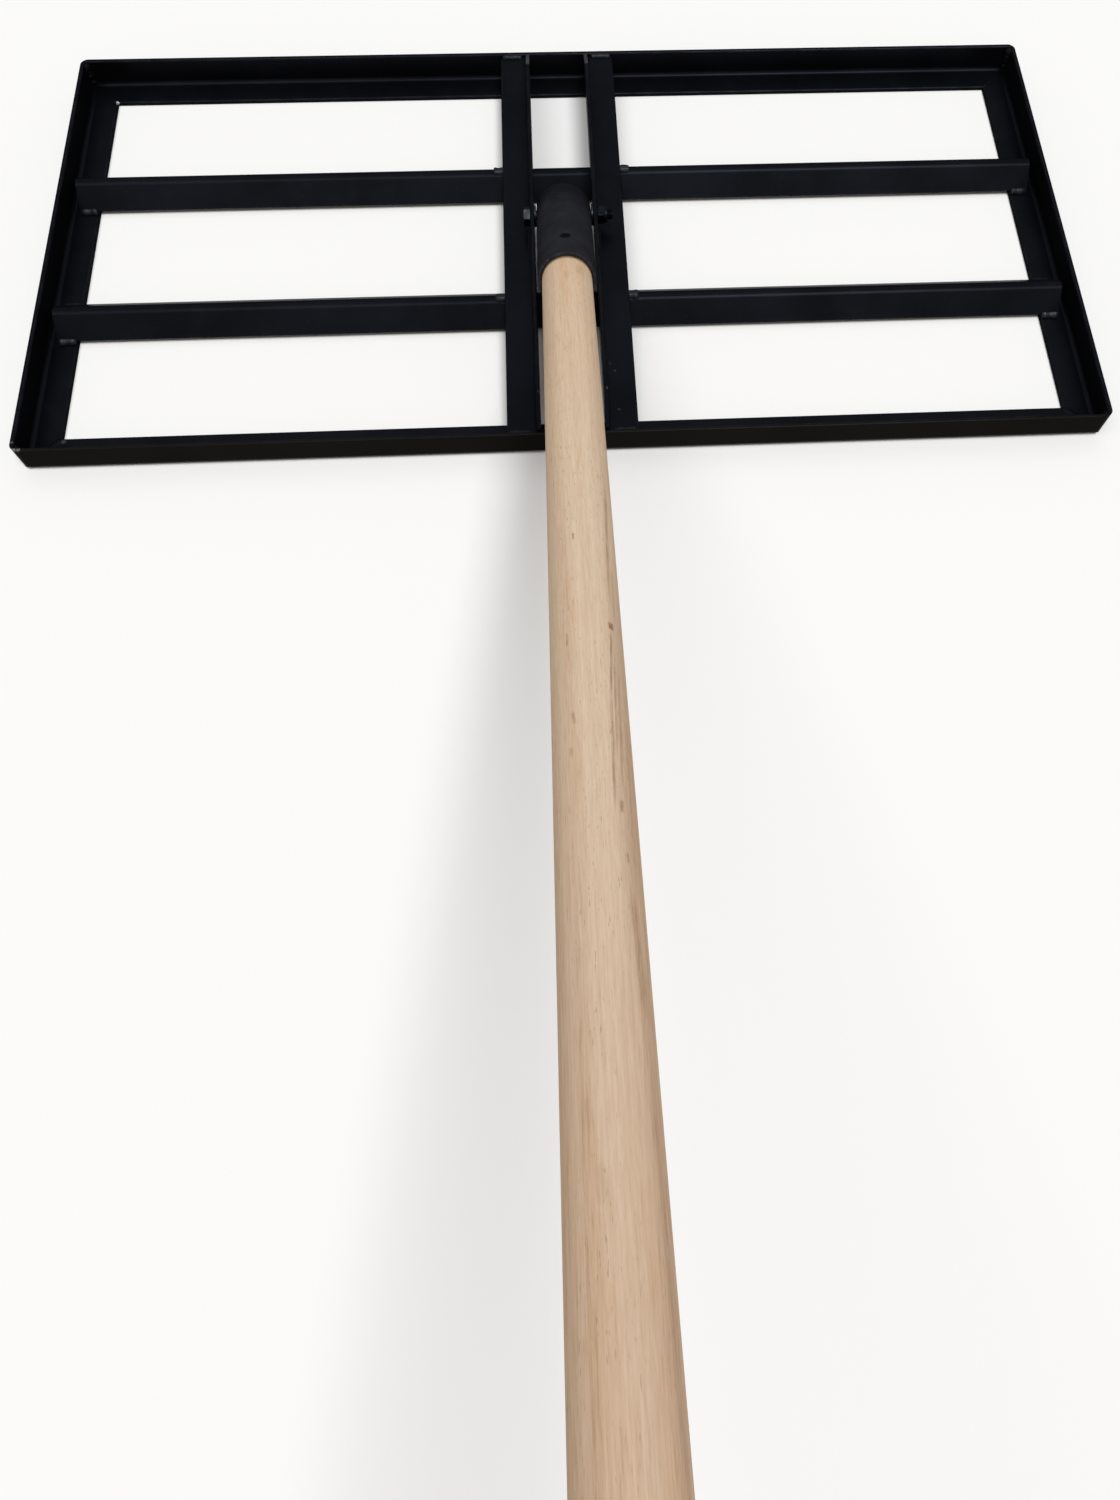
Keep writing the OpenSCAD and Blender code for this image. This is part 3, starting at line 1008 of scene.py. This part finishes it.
@dataclass
class SteelFrame:
    """The welded frame of eight bars cut from one angle.

    near_cut and far_cut say how far each bevel of a pivot rail runs along and down it.
    """

    coat: bpy.types.Material
    steel: AngleSteel = field(default_factory=AngleSteel)
    width: float = 800 * MM
    depth: float = 390 * MM
    corner: float = 6.5 * MM
    crossbar_gap: float = 3.5 * MM
    pitch: float = 130 * MM
    roof: float = 22.1777 * MM
    ridge: float = 19.4853 * MM
    rail_gap: float = 46 * MM
    pivot_rise: float = 16.5 * MM
    hole: float = 4.25 * MM
    near_cut: tuple[float, float] = (15 * MM, 17 * MM)
    far_cut: tuple[float, float] = (36 * MM, 19 * MM)

    @property
    def middle(self) -> float:
        """The frame's middle along Y."""
        return (self.depth - self.steel.leg) / 2

    def build(self) -> None:
        """Makes the eight bars."""
        half_w, half_d, mid = self.width / 2, self.depth / 2, self.middle
        for name, x, y, turn, length in (
            ("near_rail", 0, mid - half_d, 0, self.width),
            ("far_rail", 0, mid + half_d, 180, self.width),
            ("left_rail", -half_w, mid, -90, self.depth),
            ("right_rail", half_w, mid, 90, self.depth),
        ):
            place = Matrix.Translation((x, y, 0)) @ Matrix.Rotation(math.radians(turn), 4, "Z")
            self._piece(name, moved(self.mitred(length), place))
        for name, side in (("front_crossbar", -1), ("rear_crossbar", 1)):
            place = Matrix.Translation((0, mid + side * self.pitch / 2, self.roof))
            roof = place @ Matrix.Rotation(math.radians(-135), 4, "X")
            self._piece(name, moved(self.crossbar(), roof))
        for name, side in (("left_pivot_rail", -1), ("right_pivot_rail", 1)):
            flip = Matrix.Diagonal((side, 1, 1, 1))
            self._piece(name, moved(self.pivot_rail(), flip))

    def _piece(self, name: str, bm: bmesh.types.BMesh) -> None:
        """Puts one bar on the frame."""
        to_piece(f"{name}_bar", bm, self.coat, Body.FRAME, [name], Slot.POWDER_COAT)

    def mitred(self, length: float) -> bmesh.types.BMesh:
        """A side of the frame, mitred and rounded where it meets its neighbours."""
        bm = self.steel.bar(length)
        for side in (-1, 1):
            slice_off(bm, (side * length / 2, 0, 0), (side, 1, 0))
            self._round_tip(bm, side, length)
        for side in (-1, 1):
            self.steel.ease_end(bm, Vector((side, 1, 0)), welded=True)
        return bm

    def _round_tip(self, bm: bmesh.types.BMesh, side: int, length: float) -> None:
        """Grinds the upright outer edge at one end round."""
        facets = 8
        centre = Vector((side * (length / 2 - self.corner), self.corner, 0))
        for number in range(facets):
            angle = math.radians(-90 + 45 * (number + 0.5) / facets)
            normal = Vector((side * math.cos(angle), math.sin(angle), 0))
            slice_off(bm, tuple(centre + normal * self.corner), tuple(normal))

    def crossbar(self) -> bmesh.types.BMesh:
        """A crossbar along X, before it is laid like a roof."""
        inset = self.steel.thick + self.steel.root + self.crossbar_gap
        bm = self.steel.bar(self.width - 2 * inset)
        for side in (-1, 1):
            self.steel.ease_end(bm, Vector((side, 0, 0)))
        return bm

    def pivot_rail(self) -> bmesh.types.BMesh:
        """The right rail that carries the bolt, in its place."""
        length = self.depth - 2 * self.steel.thick
        bm = self.steel.bar(length)
        turn = Matrix(((0, 1, 0), (-1, 0, 0), (0, 0, 1))).to_4x4()
        place = Matrix.Translation((self.rail_gap / 2, self.middle, self.ridge))
        moved(bm, place @ turn)
        top = self.ridge + self.steel.leg
        ways = [Vector((0, -1, 0)), Vector((0, 1, 0))]
        for side, (back, drop) in ((-1, self.near_cut), (1, self.far_cut)):
            start = self.middle + side * (length / 2 - back)
            ways.append(Vector((0, side * drop, back)))
            slice_off(bm, (0, start, top), tuple(ways[-1]))
        for way in ways:
            self.steel.ease_end(bm, way)
        drill = rod(self.hole, -1 * MM, 9 * MM, 48)
        pivot = (self.rail_gap / 2 - 1 * MM, self.middle, self.ridge + self.pivot_rise)
        moved(drill, Matrix.Translation(pivot) @ Matrix.Rotation(QUARTER_TURN, 4, "Y"))
        return carved(bm, [drill])


# The welds


@dataclass(frozen=True)
class Bead:
    """One run of weld, in millimetres.

    The section's angle counts from the flat direction towards the upright one. Beside
    its sector the bead sinks, over fade degrees, to the radius called buried. A ring
    is a step long and a ripple a pitch.
    """

    start: Point
    end: Point
    flat: Point
    upright: Point
    radius: float
    sector: tuple[float, float]
    seed: int
    height: float = 1.0
    ripple: float = 1.0
    step: float = 0.38
    pitch: float = 1.35
    buried: float = 0.55
    fade: float = 14.0

    def shape(self) -> bmesh.types.BMesh:
        """The rippled bead, buried by half a millimetre where it meets the steel."""
        start, end = Vector(self.start) * MM, Vector(self.end) * MM
        run = end - start
        count = max(10, round(run.length / (self.step * MM)))
        flat, upright = Vector(self.flat).normalized(), Vector(self.upright).normalized()
        draw = random.Random(self.seed)
        sway = [draw.uniform(-1, 1) for _ in range(3)]

        def level(share: float) -> Level:
            """The ring at a share of the run."""
            along = share * run.length
            ends = max(0.0, 1 - abs(2 * share - 1) ** 9) ** 0.5
            wave = 0.5 + 0.5 * math.cos(along / (self.pitch * MM) * FULL_TURN)
            drift = 0.08 * sway[0] * math.sin(along / MM * 0.31 + sway[1] * 3)
            drift += 0.06 * math.sin(along / MM * 0.83 + sway[2] * 3)

            def place(turn: float) -> Point:
                """The vertex at an angle of the section."""
                degrees = math.degrees(turn) % 360
                inside = self._inside(degrees)
                lump = noise.noise(Vector((along / MM * 0.55, degrees * 0.02, self.seed * 3.7)))
                full = self.radius * (1 + drift + self.ripple * (0.09 * wave + 0.10 * lump))
                proud = full * (0.30 + 0.70 * ends) - self.buried
                reach = max((self.buried + proud * inside) * MM, 0.2 * MM)
                bow = (wave - 0.5) * 0.35 * MM * inside * self.ripple
                spot = start + run.normalized() * (along + bow)
                spot = spot + flat * (math.cos(turn) * reach)
                spot = spot + upright * (math.sin(turn) * reach * self.height)
                return tuple(spot)

            return place

        bm = tower([level(n / count) for n in range(count + 1)], 22)
        outward(bm)
        return bm

    def _inside(self, degrees: float) -> float:
        """1 inside the bead's sector, fading to 0 beside it."""
        low, high = self.sector
        off = abs((degrees - (low + high) / 2 + 180) % 360 - 180)
        share = max(0.0, min(1.0, ((high - low) / 2 + self.fade - off) / self.fade))
        return share * share * (3 - 2 * share)


@dataclass
class Welds:
    """All weld beads of the frame."""

    coat: bpy.types.Material
    # the lighter copy of the coat: painted highlight on the crossbar and pivot-rail beads
    glint_coat: bpy.types.Material
    frame: SteelFrame

    def build(self) -> None:
        """Makes the five groups of beads."""
        self._piece("corner_welds", self.corner_beads(), self.coat)
        # the crossbar and pivot-rail beads take the lighter coat, a painted highlight
        for name, side in (("front_crossbar_welds", -1), ("rear_crossbar_welds", 1)):
            self._piece(name, self.foot_beads(side), self.glint_coat)
        for name, side in (("left_pivot_rail_welds", -1), ("right_pivot_rail_welds", 1)):
            self._piece(name, self.rail_beads(side), self.glint_coat)

    @staticmethod
    def _piece(name: str, beads: Sequence[Bead], coat: bpy.types.Material) -> None:
        """Puts one group of beads on the frame."""
        bm = joined([bead.shape() for bead in beads])
        to_piece(f"{name}_beads", bm, coat, Body.FRAME, [name], Slot.POWDER_COAT, 60)

    def corner_beads(self) -> list[Bead]:
        """The upright and the flat bead of each corner."""
        half_w, half_d = self.frame.width / MM / 2, self.frame.depth / MM / 2
        mid, wall = self.frame.middle / MM, self.frame.steel.thick / MM
        near, far = 4.5, 21.2
        beads = []
        for number, (sx, sy) in enumerate(CORNERS):
            x, y = sx * (half_w - wall), mid + sy * (half_d - wall)
            beads.append(
                Bead(
                    start=(x, y, 6.0),
                    end=(x, y, 24.0),
                    flat=(-sx, 0, 0),
                    upright=(0, -sy, 0),
                    radius=3.6,
                    sector=(0, 90),
                    seed=11 + number,
                )
            )
            beads.append(
                Bead(
                    start=(x - sx * near, y - sy * near, 2.7),
                    end=(x - sx * far, y - sy * far, 2.7),
                    flat=(sy, -sx, 0),
                    upright=UP,
                    radius=2.3,
                    sector=(0, 180),
                    seed=21 + number,
                    height=0.35,
                    ripple=0.5,
                )
            )
        return beads

    def foot_beads(self, side: int) -> list[Bead]:
        """The four beads at the feet of one crossbar; side is -1 near, 1 far."""
        steel, mid = self.frame.steel, self.frame.middle / MM
        spread = steel.leg / MM / math.sqrt(2)
        gap = self.frame.roof / MM - spread - steel.thick / MM
        ridge_y = mid + side * self.frame.pitch / MM / 2
        half_w = self.frame.width / MM / 2
        beads = []
        for number, (sx, sy) in enumerate(CORNERS):
            y = ridge_y + sy * (spread - gap)
            beads.append(
                Bead(
                    start=(sx * (half_w - 10.5), y, 3.2),
                    end=(sx * (half_w - 24.6), y, 3.2),
                    flat=(0, sy, 0),
                    upright=UP,
                    radius=4.6 if sy < 0 else 3.4,
                    sector=(0, 75),
                    seed=31 + number + 4 * (side + 1),
                    height=0.8 if sy < 0 else 0.5,
                    ripple=0.3,
                )
            )
        return beads

    def rail_beads(self, side: int) -> list[Bead]:
        """The blobs and end beads of one pivot rail; side is -1 left, 1 right."""
        base, steel = self.frame, self.frame.steel
        mid, ridge, wall = base.middle / MM, base.ridge / MM, steel.thick / MM
        leg_face = base.rail_gap / MM / 2
        flange_edge, inner = leg_face + steel.leg / MM, leg_face + wall + steel.root / MM
        beads = []
        for number, way in enumerate((-1, 1)):
            seed = number + 4 * (side + 1)
            y = mid + way * base.pitch / MM / 2
            end_y = mid + way * (base.depth / MM / 2 - wall)
            beads.append(
                Bead(
                    start=(side * (flange_edge - 1.0), y, ridge - 0.3),
                    end=(side * (flange_edge + 7.4), y, ridge - 0.3),
                    flat=(0, 1, 0),
                    upright=UP,
                    radius=3.6,
                    sector=(-20, 200),
                    seed=51 + seed,
                    height=0.85,
                    ripple=0.5,
                )
            )
            beads.append(
                Bead(
                    start=(side * inner, end_y, ridge + wall),
                    end=(side * (inner + 16.5), end_y, ridge + wall),
                    flat=(0, 1, 0),
                    upright=UP,
                    radius=2.35,
                    sector=(0, 180),
                    seed=71 + seed,
                    height=0.85,
                )
            )
        return beads


# The pivot


@dataclass
class Pivot:
    """The bolt, lock nut and washers; sizes in metres, X along the bolt."""

    zinc: bpy.types.Material
    dark: bpy.types.Material
    nylon: bpy.types.Material
    centre: Point
    flats: float = 13 * MM
    bolt_r: float = 4 * MM
    leg_face: float = 26 * MM
    head: float = 5.3 * MM
    nut: float = 8 * MM
    collar: float = 2.2 * MM
    collar_r: float = 5.8 * MM
    past: float = 5 * MM
    pitch: float = 1.25 * MM
    washer_r: float = 8 * MM
    washer_t: float = 1.6 * MM
    gap: float = 23 * MM

    def build(self) -> None:
        """Makes the five pieces."""
        ring_at, right_at = self.leg_face + self.nut - self.collar, self.gap - self.washer_t
        zinc, nut = self.zinc, self.lock_nut()
        for name, node, shape, start, material, slot in (
            ("bolt_m8", "pivot_bolt", self.bolt(), 0, zinc, Slot.ZINC),
            ("lock_nut", "pivot_nut", nut, self.leg_face, self.dark, Slot.ZINC),
            ("lock_ring", "nut_nylon_ring", self.ring(), ring_at, self.nylon, Slot.NYLON),
            ("left_washer_disc", "left_washer", self.washer(), -self.gap, zinc, Slot.ZINC),
            ("right_washer_disc", "right_washer", self.washer(), right_at, zinc, Slot.ZINC),
        ):
            to_piece(name, self.at(shape, start), material, Body.FRAME, [node], slot)

    def at(self, bm: bmesh.types.BMesh, start: float) -> bmesh.types.BMesh:
        """Lays a shape drawn along Z on the pivot's line."""
        place = Matrix.Translation((start, self.centre[1], self.centre[2]))
        return moved(bm, place @ Matrix.Rotation(QUARTER_TURN, 4, "Y"))

    def hexagon(self, low: float, high: float, low_chamfer: bool, turn: float) -> bmesh.types.BMesh:
        """A hexagon's prism with the curved corners of a chamfer.

        Args:
            low: Where it starts along the bolt.
            high: Where it ends.
            low_chamfer: True where the low end is chamfered too.
            turn: How far it is turned about the bolt, in radians.

        Returns:
            The shape.
        """
        half = self.flats / 2
        face_r = half * 0.955
        slope = math.tan(math.radians(30))
        burr = 0.15 * MM

        def edge(angle: float) -> float:
            """The hexagon's radius at an angle."""
            within = (angle - turn + math.pi / 6) % (math.pi / 3) - math.pi / 6
            return half / math.cos(within)

        def ring(radius: Callable[[float], float], z: Callable[[float], float]) -> Level:
            """One ring of the stack."""
            return lambda a: (radius(a) * math.cos(a), radius(a) * math.sin(a), z(a))

        levels = []
        if low_chamfer:
            levels.append(ring(lambda a: face_r, lambda a: low))
            levels.append(ring(edge, lambda a: low + (edge(a) - face_r) * slope))
        else:
            levels.append(ring(lambda a: edge(a) - burr, lambda a: low))
            levels.append(ring(edge, lambda a: low + burr))
        levels.append(ring(edge, lambda a: high - (edge(a) - face_r) * slope))
        levels.append(ring(lambda a: face_r, lambda a: high))
        return tower(levels, 96)

    def thread(self, low: float, high: float) -> bmesh.types.BMesh:
        """A helical thread from low to high, its roots inside the core."""
        bm = new_shape()
        root, crest = self.bolt_r - 0.85 * MM, self.bolt_r - 0.02 * MM
        half, flat = self.pitch * 0.46, self.pitch * 0.07
        outline = [(root, -half), (crest, -flat), (crest, flat), (root, half)]
        face = bm.faces.new([bm.verts.new((r, 0, low + z)) for r, z in outline])
        turns = (high - low) / self.pitch
        steps = round(turns * 32)
        bmesh.ops.spin(
            bm,
            geom=[face],
            cent=(0, 0, 0),
            axis=(0, 0, 1),
            dvec=(0, 0, (high - low) / steps),
            angle=turns * FULL_TURN,
            steps=steps,
        )
        fade_from = high - 0.8 * self.pitch
        for vert in bm.verts:
            out = math.hypot(vert.co.x, vert.co.y)
            if out > root + TINY and vert.co.z > fade_from:
                share = min(1.0, (vert.co.z - fade_from) / (0.9 * self.pitch))
                shrink = 1 - share * 0.75 * (crest - root) / crest
                vert.co.x *= shrink
                vert.co.y *= shrink
        outward(bm)
        return bm

    def bolt(self) -> bmesh.types.BMesh:
        """The bolt with its forged head and its thread past the nut."""
        end = self.leg_face + self.nut + self.past
        shank_end = self.leg_face + self.nut - 0.6 * MM
        core = self.bolt_r - 0.72 * MM
        shank = turned(
            [
                (0, -self.leg_face - 1 * MM, 0),
                (self.bolt_r, -self.leg_face - 1 * MM, 0),
                (self.bolt_r, shank_end, 0),
                (core, shank_end + 0.5 * MM, 0),
                (core, end - 0.55 * MM, 0),
                (core - 0.5 * MM, end, 0.12 * MM),
                (0, end, 0),
            ],
            64,
        )
        head = self.hexagon(0, self.head, False, math.radians(29))
        low, high = self.head - 0.35 * MM, self.head + 0.1 * MM
        dish = turned([(0, low, 0), (4.3 * MM, low, 0), (4.9 * MM, high, 0), (0, high, 0)], 64)
        head = carved(head, [dish])
        moved(head, Matrix.Translation((0, 0, -self.leg_face)) @ Matrix.Rotation(math.pi, 4, "X"))
        return joined([shank, head, self.thread(shank_end - 0.4 * MM, end - 0.45 * MM)])

    def lock_nut(self) -> bmesh.types.BMesh:
        """The lock nut: a chamfered hexagon and a rolled collar, bored through."""
        low, inner, foot = self.nut - self.collar, self.collar_r - 1.0 * MM, 4.3 * MM
        body = self.hexagon(0, low, True, math.radians(17))
        body = carved(body, [rod(self.bolt_r + 0.02 * MM, -1 * MM, self.nut + 1 * MM, 64)])
        collar = turned(
            [
                (foot, low - 0.4 * MM, 0),
                (self.collar_r, low - 0.4 * MM, 0),
                (self.collar_r, self.nut, 0.55 * MM),
                (inner - 0.25 * MM, self.nut, 0.2 * MM),
                (inner - 0.25 * MM, self.nut - 0.35 * MM, 0),
                (inner, self.nut - 0.45 * MM, 0),
                (inner, low - 0.1 * MM, 0),
                (foot, low - 0.1 * MM, 0),
            ],
            72,
        )
        return joined([body, collar])

    def ring(self) -> bmesh.types.BMesh:
        """The nylon ring that grips the thread."""
        inner, outer = self.bolt_r + 0.03 * MM, self.collar_r - 1.02 * MM
        high = self.collar - 0.45 * MM
        return turned(
            [(inner, 0, 0), (outer, 0, 0), (outer, high, 0.1 * MM), (inner, high, 0.3 * MM)], 64
        )

    def washer(self) -> bmesh.types.BMesh:
        """A flat washer with the soft edges of a stamped one."""
        inner = self.bolt_r + 0.08 * MM
        return turned(
            [
                (inner, 0, 0.15 * MM),
                (self.washer_r, 0, 0.2 * MM),
                (self.washer_r, self.washer_t, 0.45 * MM),
                (inner, self.washer_t, 0.2 * MM),
            ],
            96,
        )


# The handle


@dataclass
class Handle:
    """The socket, its screw and the shaft; Z runs along the handle from the pivot."""

    paint: bpy.types.Material
    black: bpy.types.Material
    wood: bpy.types.Material
    centre: Point
    lean: float = HANDLE_LEAN
    tube_r: float = 21.2 * MM
    wall: float = 2.6 * MM
    reach: float = TUBE_MOUTH
    tail: float = 10 * MM
    bolt_hole: float = 4.08 * MM
    screw_at: float = 78 * MM
    screw_top: float = 20.6 * MM
    screw_head_r: float = 4 * MM
    screw_r: float = 2 * MM
    shaft_r: float = 18 * MM
    shaft_start: float = 7 * MM
    shaft_end: float = SHAFT_END - 0.2 * MM
    shaft_round: float = 7 * MM

    @property
    def place(self) -> Matrix:
        """From the handle's own directions to the tool's."""
        turn = Matrix.Rotation(QUARTER_TURN - self.lean, 4, "X")
        return Matrix.Translation(self.centre) @ turn

    def build(self) -> None:
        """Makes the three pieces."""
        self._piece("socket_tube", self.socket(), self.paint, "handle_socket", Slot.SOCKET_PAINT)
        self._piece("shaft_screw", self.screw(), self.black, "socket_screw", Slot.BLACK_SCREW)
        self._piece("wooden_shaft", self.shaft(), self.wood, "handle_shaft", Slot.WOOD)

    def _piece(
        self, name: str, bm: bmesh.types.BMesh, material: bpy.types.Material, node: str, slot: Slot
    ) -> None:
        """Puts one piece on the handle."""
        to_piece(name, moved(bm, self.place), material, Body.HANDLE, [node], slot)

    def socket(self) -> bmesh.types.BMesh:
        """The tube with the bolt's holes and the screw's countersunk hole."""
        bore = self.tube_r - self.wall
        tube = turned(
            [
                (bore, -self.tail, 0.35 * MM),
                (self.tube_r, -self.tail, 0.6 * MM),
                (self.tube_r, self.reach, 0.6 * MM),
                (bore, self.reach, 0.5 * MM),
            ],
            128,
        )
        layer, rim = scalar_layer(tube), 0.7 * MM
        for face in tube.faces:
            z = face.calc_center_median().z
            if z < -self.tail + rim or z > self.reach - rim:
                face[layer] = 1.0
        far = self.tube_r + 2 * MM
        drill = moved(rod(self.bolt_hole, -far, far, 48), Matrix.Rotation(QUARTER_TURN, 4, "Y"))
        top, head, stem = self.screw_top, self.screw_head_r + 0.1 * MM, self.screw_r + 0.1 * MM
        sink = turned(
            [
                (0, bore - 3 * MM, 0),
                (stem, bore - 3 * MM, 0),
                (stem, top - 2.2 * MM, 0),
                (head, top, 0),
                (head + 0.25 * MM, far, 0),
                (0, far, 0),
            ],
            48,
        )
        return carved(tube, [drill, self._at_screw(sink)])

    def _at_screw(self, bm: bmesh.types.BMesh) -> bmesh.types.BMesh:
        """Lays a shape drawn along Z on the screw's line."""
        place = Matrix.Translation((0, 0, self.screw_at))
        return moved(bm, place @ Matrix.Rotation(-QUARTER_TURN, 4, "X"))

    def screw(self) -> bmesh.types.BMesh:
        """The countersunk wood screw with its recess of two crossed slots."""
        top, head, stem = self.screw_top, self.screw_head_r, self.screw_r
        length = 25 * MM
        body = turned(
            [
                (0, top - length, 0),
                (stem * 0.75, top - length + 4 * MM, 0),
                (stem * 0.75, top - 4.0 * MM, 0),
                (stem, top - 2.4 * MM, 0),
                (head - 0.1 * MM, top - 0.25 * MM, 0),
                (head - 0.1 * MM, top, 0.1 * MM),
                (0, top, 0),
            ],
            48,
        )

        def oblong(half_x: float, half_y: float, z: float) -> Level:
            """One level of a slot; with four steps two of its corners fall together."""
            return lambda a: (
                math.copysign(half_x, math.cos(a)),
                math.copysign(half_y, math.sin(a)),
                z,
            )

        floor = oblong(1.1 * MM, 0.30 * MM, top - 1.5 * MM)
        mouth = oblong(2.15 * MM, 0.48 * MM, top + 0.5 * MM)
        cuts = [
            moved(tower([floor, mouth], 4), Matrix.Rotation(math.radians(turn), 4, "Z"))
            for turn in (20, 110)
        ]
        return self._at_screw(carved(body, cuts))

    def shaft(self) -> bmesh.types.BMesh:
        """The round shaft, chamfered inside the tube and rounded at its free end."""
        start, end = self.shaft_start, self.shaft_end
        return turned(
            [
                (0, start, 0),
                (self.shaft_r - 1.5 * MM, start, 0.3 * MM),
                (self.shaft_r, start + 1.5 * MM, 0.3 * MM),
                (self.shaft_r, end, self.shaft_round),
                (0, end, 0),
            ],
            144,
            8,
        )


# The studio


@dataclass(frozen=True)
class Studio:
    """Pale floor, soft light and the camera."""

    eye: Point = (-0.0061412, -0.47702, 0.69532)
    tilt: float = 0.39472184
    roll: float = 0.06578601
    yaw: float = -0.11625698
    focal_px: float = 1101.2
    image_height: float = 1500
    image_width: float = 1120
    axis_px: tuple[float, float] = (624.01, 670.51)
    sensor: float = 36.0
    sky_light: Colour = (0.19, 0.187, 0.178)
    sky_seen: Colour = (1.0, 1.0, 1.0)
    floor_bounce: Colour = (0.54, 0.45, 0.35)
    floor_seen: Colour = (0.99, 0.99, 0.99)

    def build(self) -> None:
        """Makes the floor, the lights and the camera."""
        self._floor()
        self._world()
        self._lamps()
        self._camera()
        bpy.context.scene.view_settings.view_transform = "Standard"

    @staticmethod
    def _seen_directly(g: Graph) -> Wire:
        """1 for the rays that show the background: camera, mirror and glass rays."""
        rays = [
            g.node("ShaderNodeLightPath", {}, {}, name)
            for name in ("Is Camera Ray", "Is Glossy Ray", "Is Transmission Ray")
        ]
        return rays[0].math("MAXIMUM", rays[1]).math("MAXIMUM", rays[2])

    def _floor(self) -> None:
        """The plain pale floor, which keeps the object's shadow."""
        bm = bmesh.new()
        bmesh.ops.create_grid(bm, x_segments=1, y_segments=1, size=60.0)
        bmesh.ops.translate(bm, verts=bm.verts[:], vec=(0, 0, -0.4 * MM))
        mesh = to_mesh("floor", bm)
        material, g = new_material("pale_floor")
        shade = g.blend(self._seen_directly(g), self.floor_bounce, self.floor_seen)
        g.surface({"Specular IOR Level": 0.0, "Roughness": 0.9}, {"Base Color": shade})
        mesh.materials.append(material)
        floor = in_scene("floor", mesh)

    def _world(self) -> None:
        """An even sky: dim as a lamp, white as a background."""
        world = bpy.data.worlds.new("studio")
        bpy.context.scene.world = world
        g = Graph(world)
        shade = g.blend(self._seen_directly(g), self.sky_light, self.sky_seen)
        g.end("ShaderNodeOutputWorld", g.node("ShaderNodeBackground", {}, {"Color": shade}))

    def _lamps(self) -> None:
        """A wide soft sun overhead and three weaker ones at the left, in front and behind."""
        for name, strength, spread, colour, direction in (
            ("key", 1.76, 21, (1.0, 0.995, 0.99), (0.20, -0.32, 1.0)),
            ("fill", 0.68, 34, (1.0, 0.99, 0.98), (-0.38, -0.26, 1.0)),
            ("front", 0.14, 50, (1.0, 0.98, 0.95), (0.14, -0.95, 1.0)),
            ("back", 0.14, 36, (0.86, 0.97, 1.12), (0.02, 0.58, 1.0)),
        ):
            lamp = bpy.data.lights.new(name, "SUN")
            lamp.energy = strength
            lamp.color = colour
            lamp.angle = math.radians(spread)
            thing = in_scene(name, lamp)
            thing.rotation_mode = "QUATERNION"
            thing.rotation_quaternion = Vector(direction).to_track_quat("Z", "Y")
            thing.location = Vector(direction) * 3

    def _camera(self) -> None:
        """The camera at the photograph's place and angle."""
        data = bpy.data.cameras.new("camera")
        data.sensor_width = self.sensor
        data.sensor_fit = "AUTO"
        data.lens = self.focal_px / self.image_height * self.sensor
        data.shift_x = (self.image_width / 2 - self.axis_px[0]) / self.image_height
        data.shift_y = (self.axis_px[1] - self.image_height / 2) / self.image_height
        data.clip_start, data.clip_end = 0.01, 50
        camera = in_scene("camera", data)
        turn = (
            Matrix.Rotation(self.yaw, 4, "Z")
            @ Matrix.Rotation(self.tilt, 4, "X")
            @ Matrix.Rotation(self.roll, 4, "Z")
        )
        camera.matrix_world = Matrix.Translation(self.eye) @ turn
        bpy.context.scene.camera = camera


def main() -> None:
    """Builds the tool's pieces and the studio."""
    logging.basicConfig(level=logging.INFO, format="%(message)s")
    pivot = tuple(frame["joints"][0]["pos_m"])
    coat = PowderCoat(chips=CHIPS_AND_BEAD_HIGHLIGHT).make()
    steel_frame = SteelFrame(coat)
    steel_frame.build()
    Welds(coat, WELD_GLINT_COAT.make(), steel_frame).build()
    zinc = Plated(
        "bright_zinc",
        colour=(0.010, 0.011, 0.013),
        tint=(0.030, 0.032, 0.037),
        rough=0.26,
        oiled_from=33.5 * MM,
    )
    dark = Plated(
        "black_zinc", colour=(0.0042, 0.0050, 0.0066), tint=(0.0090, 0.0105, 0.0135), rough=0.28
    )
    Pivot(zinc.make(), dark.make(), Nylon().make(), pivot).build()
    black = Plated(
        "black_phosphate",
        colour=(0.0012, 0.0012, 0.0014),
        tint=(0.0024, 0.0024, 0.0026),
        rough=0.45,
    )
    black_phosphate, wood = black.make(), PaleWood(pivot).make()
    Handle(SocketPaint(pivot).make(), black_phosphate, wood, pivot).build()
    Studio().build()


if __name__ == "__main__":
    main()
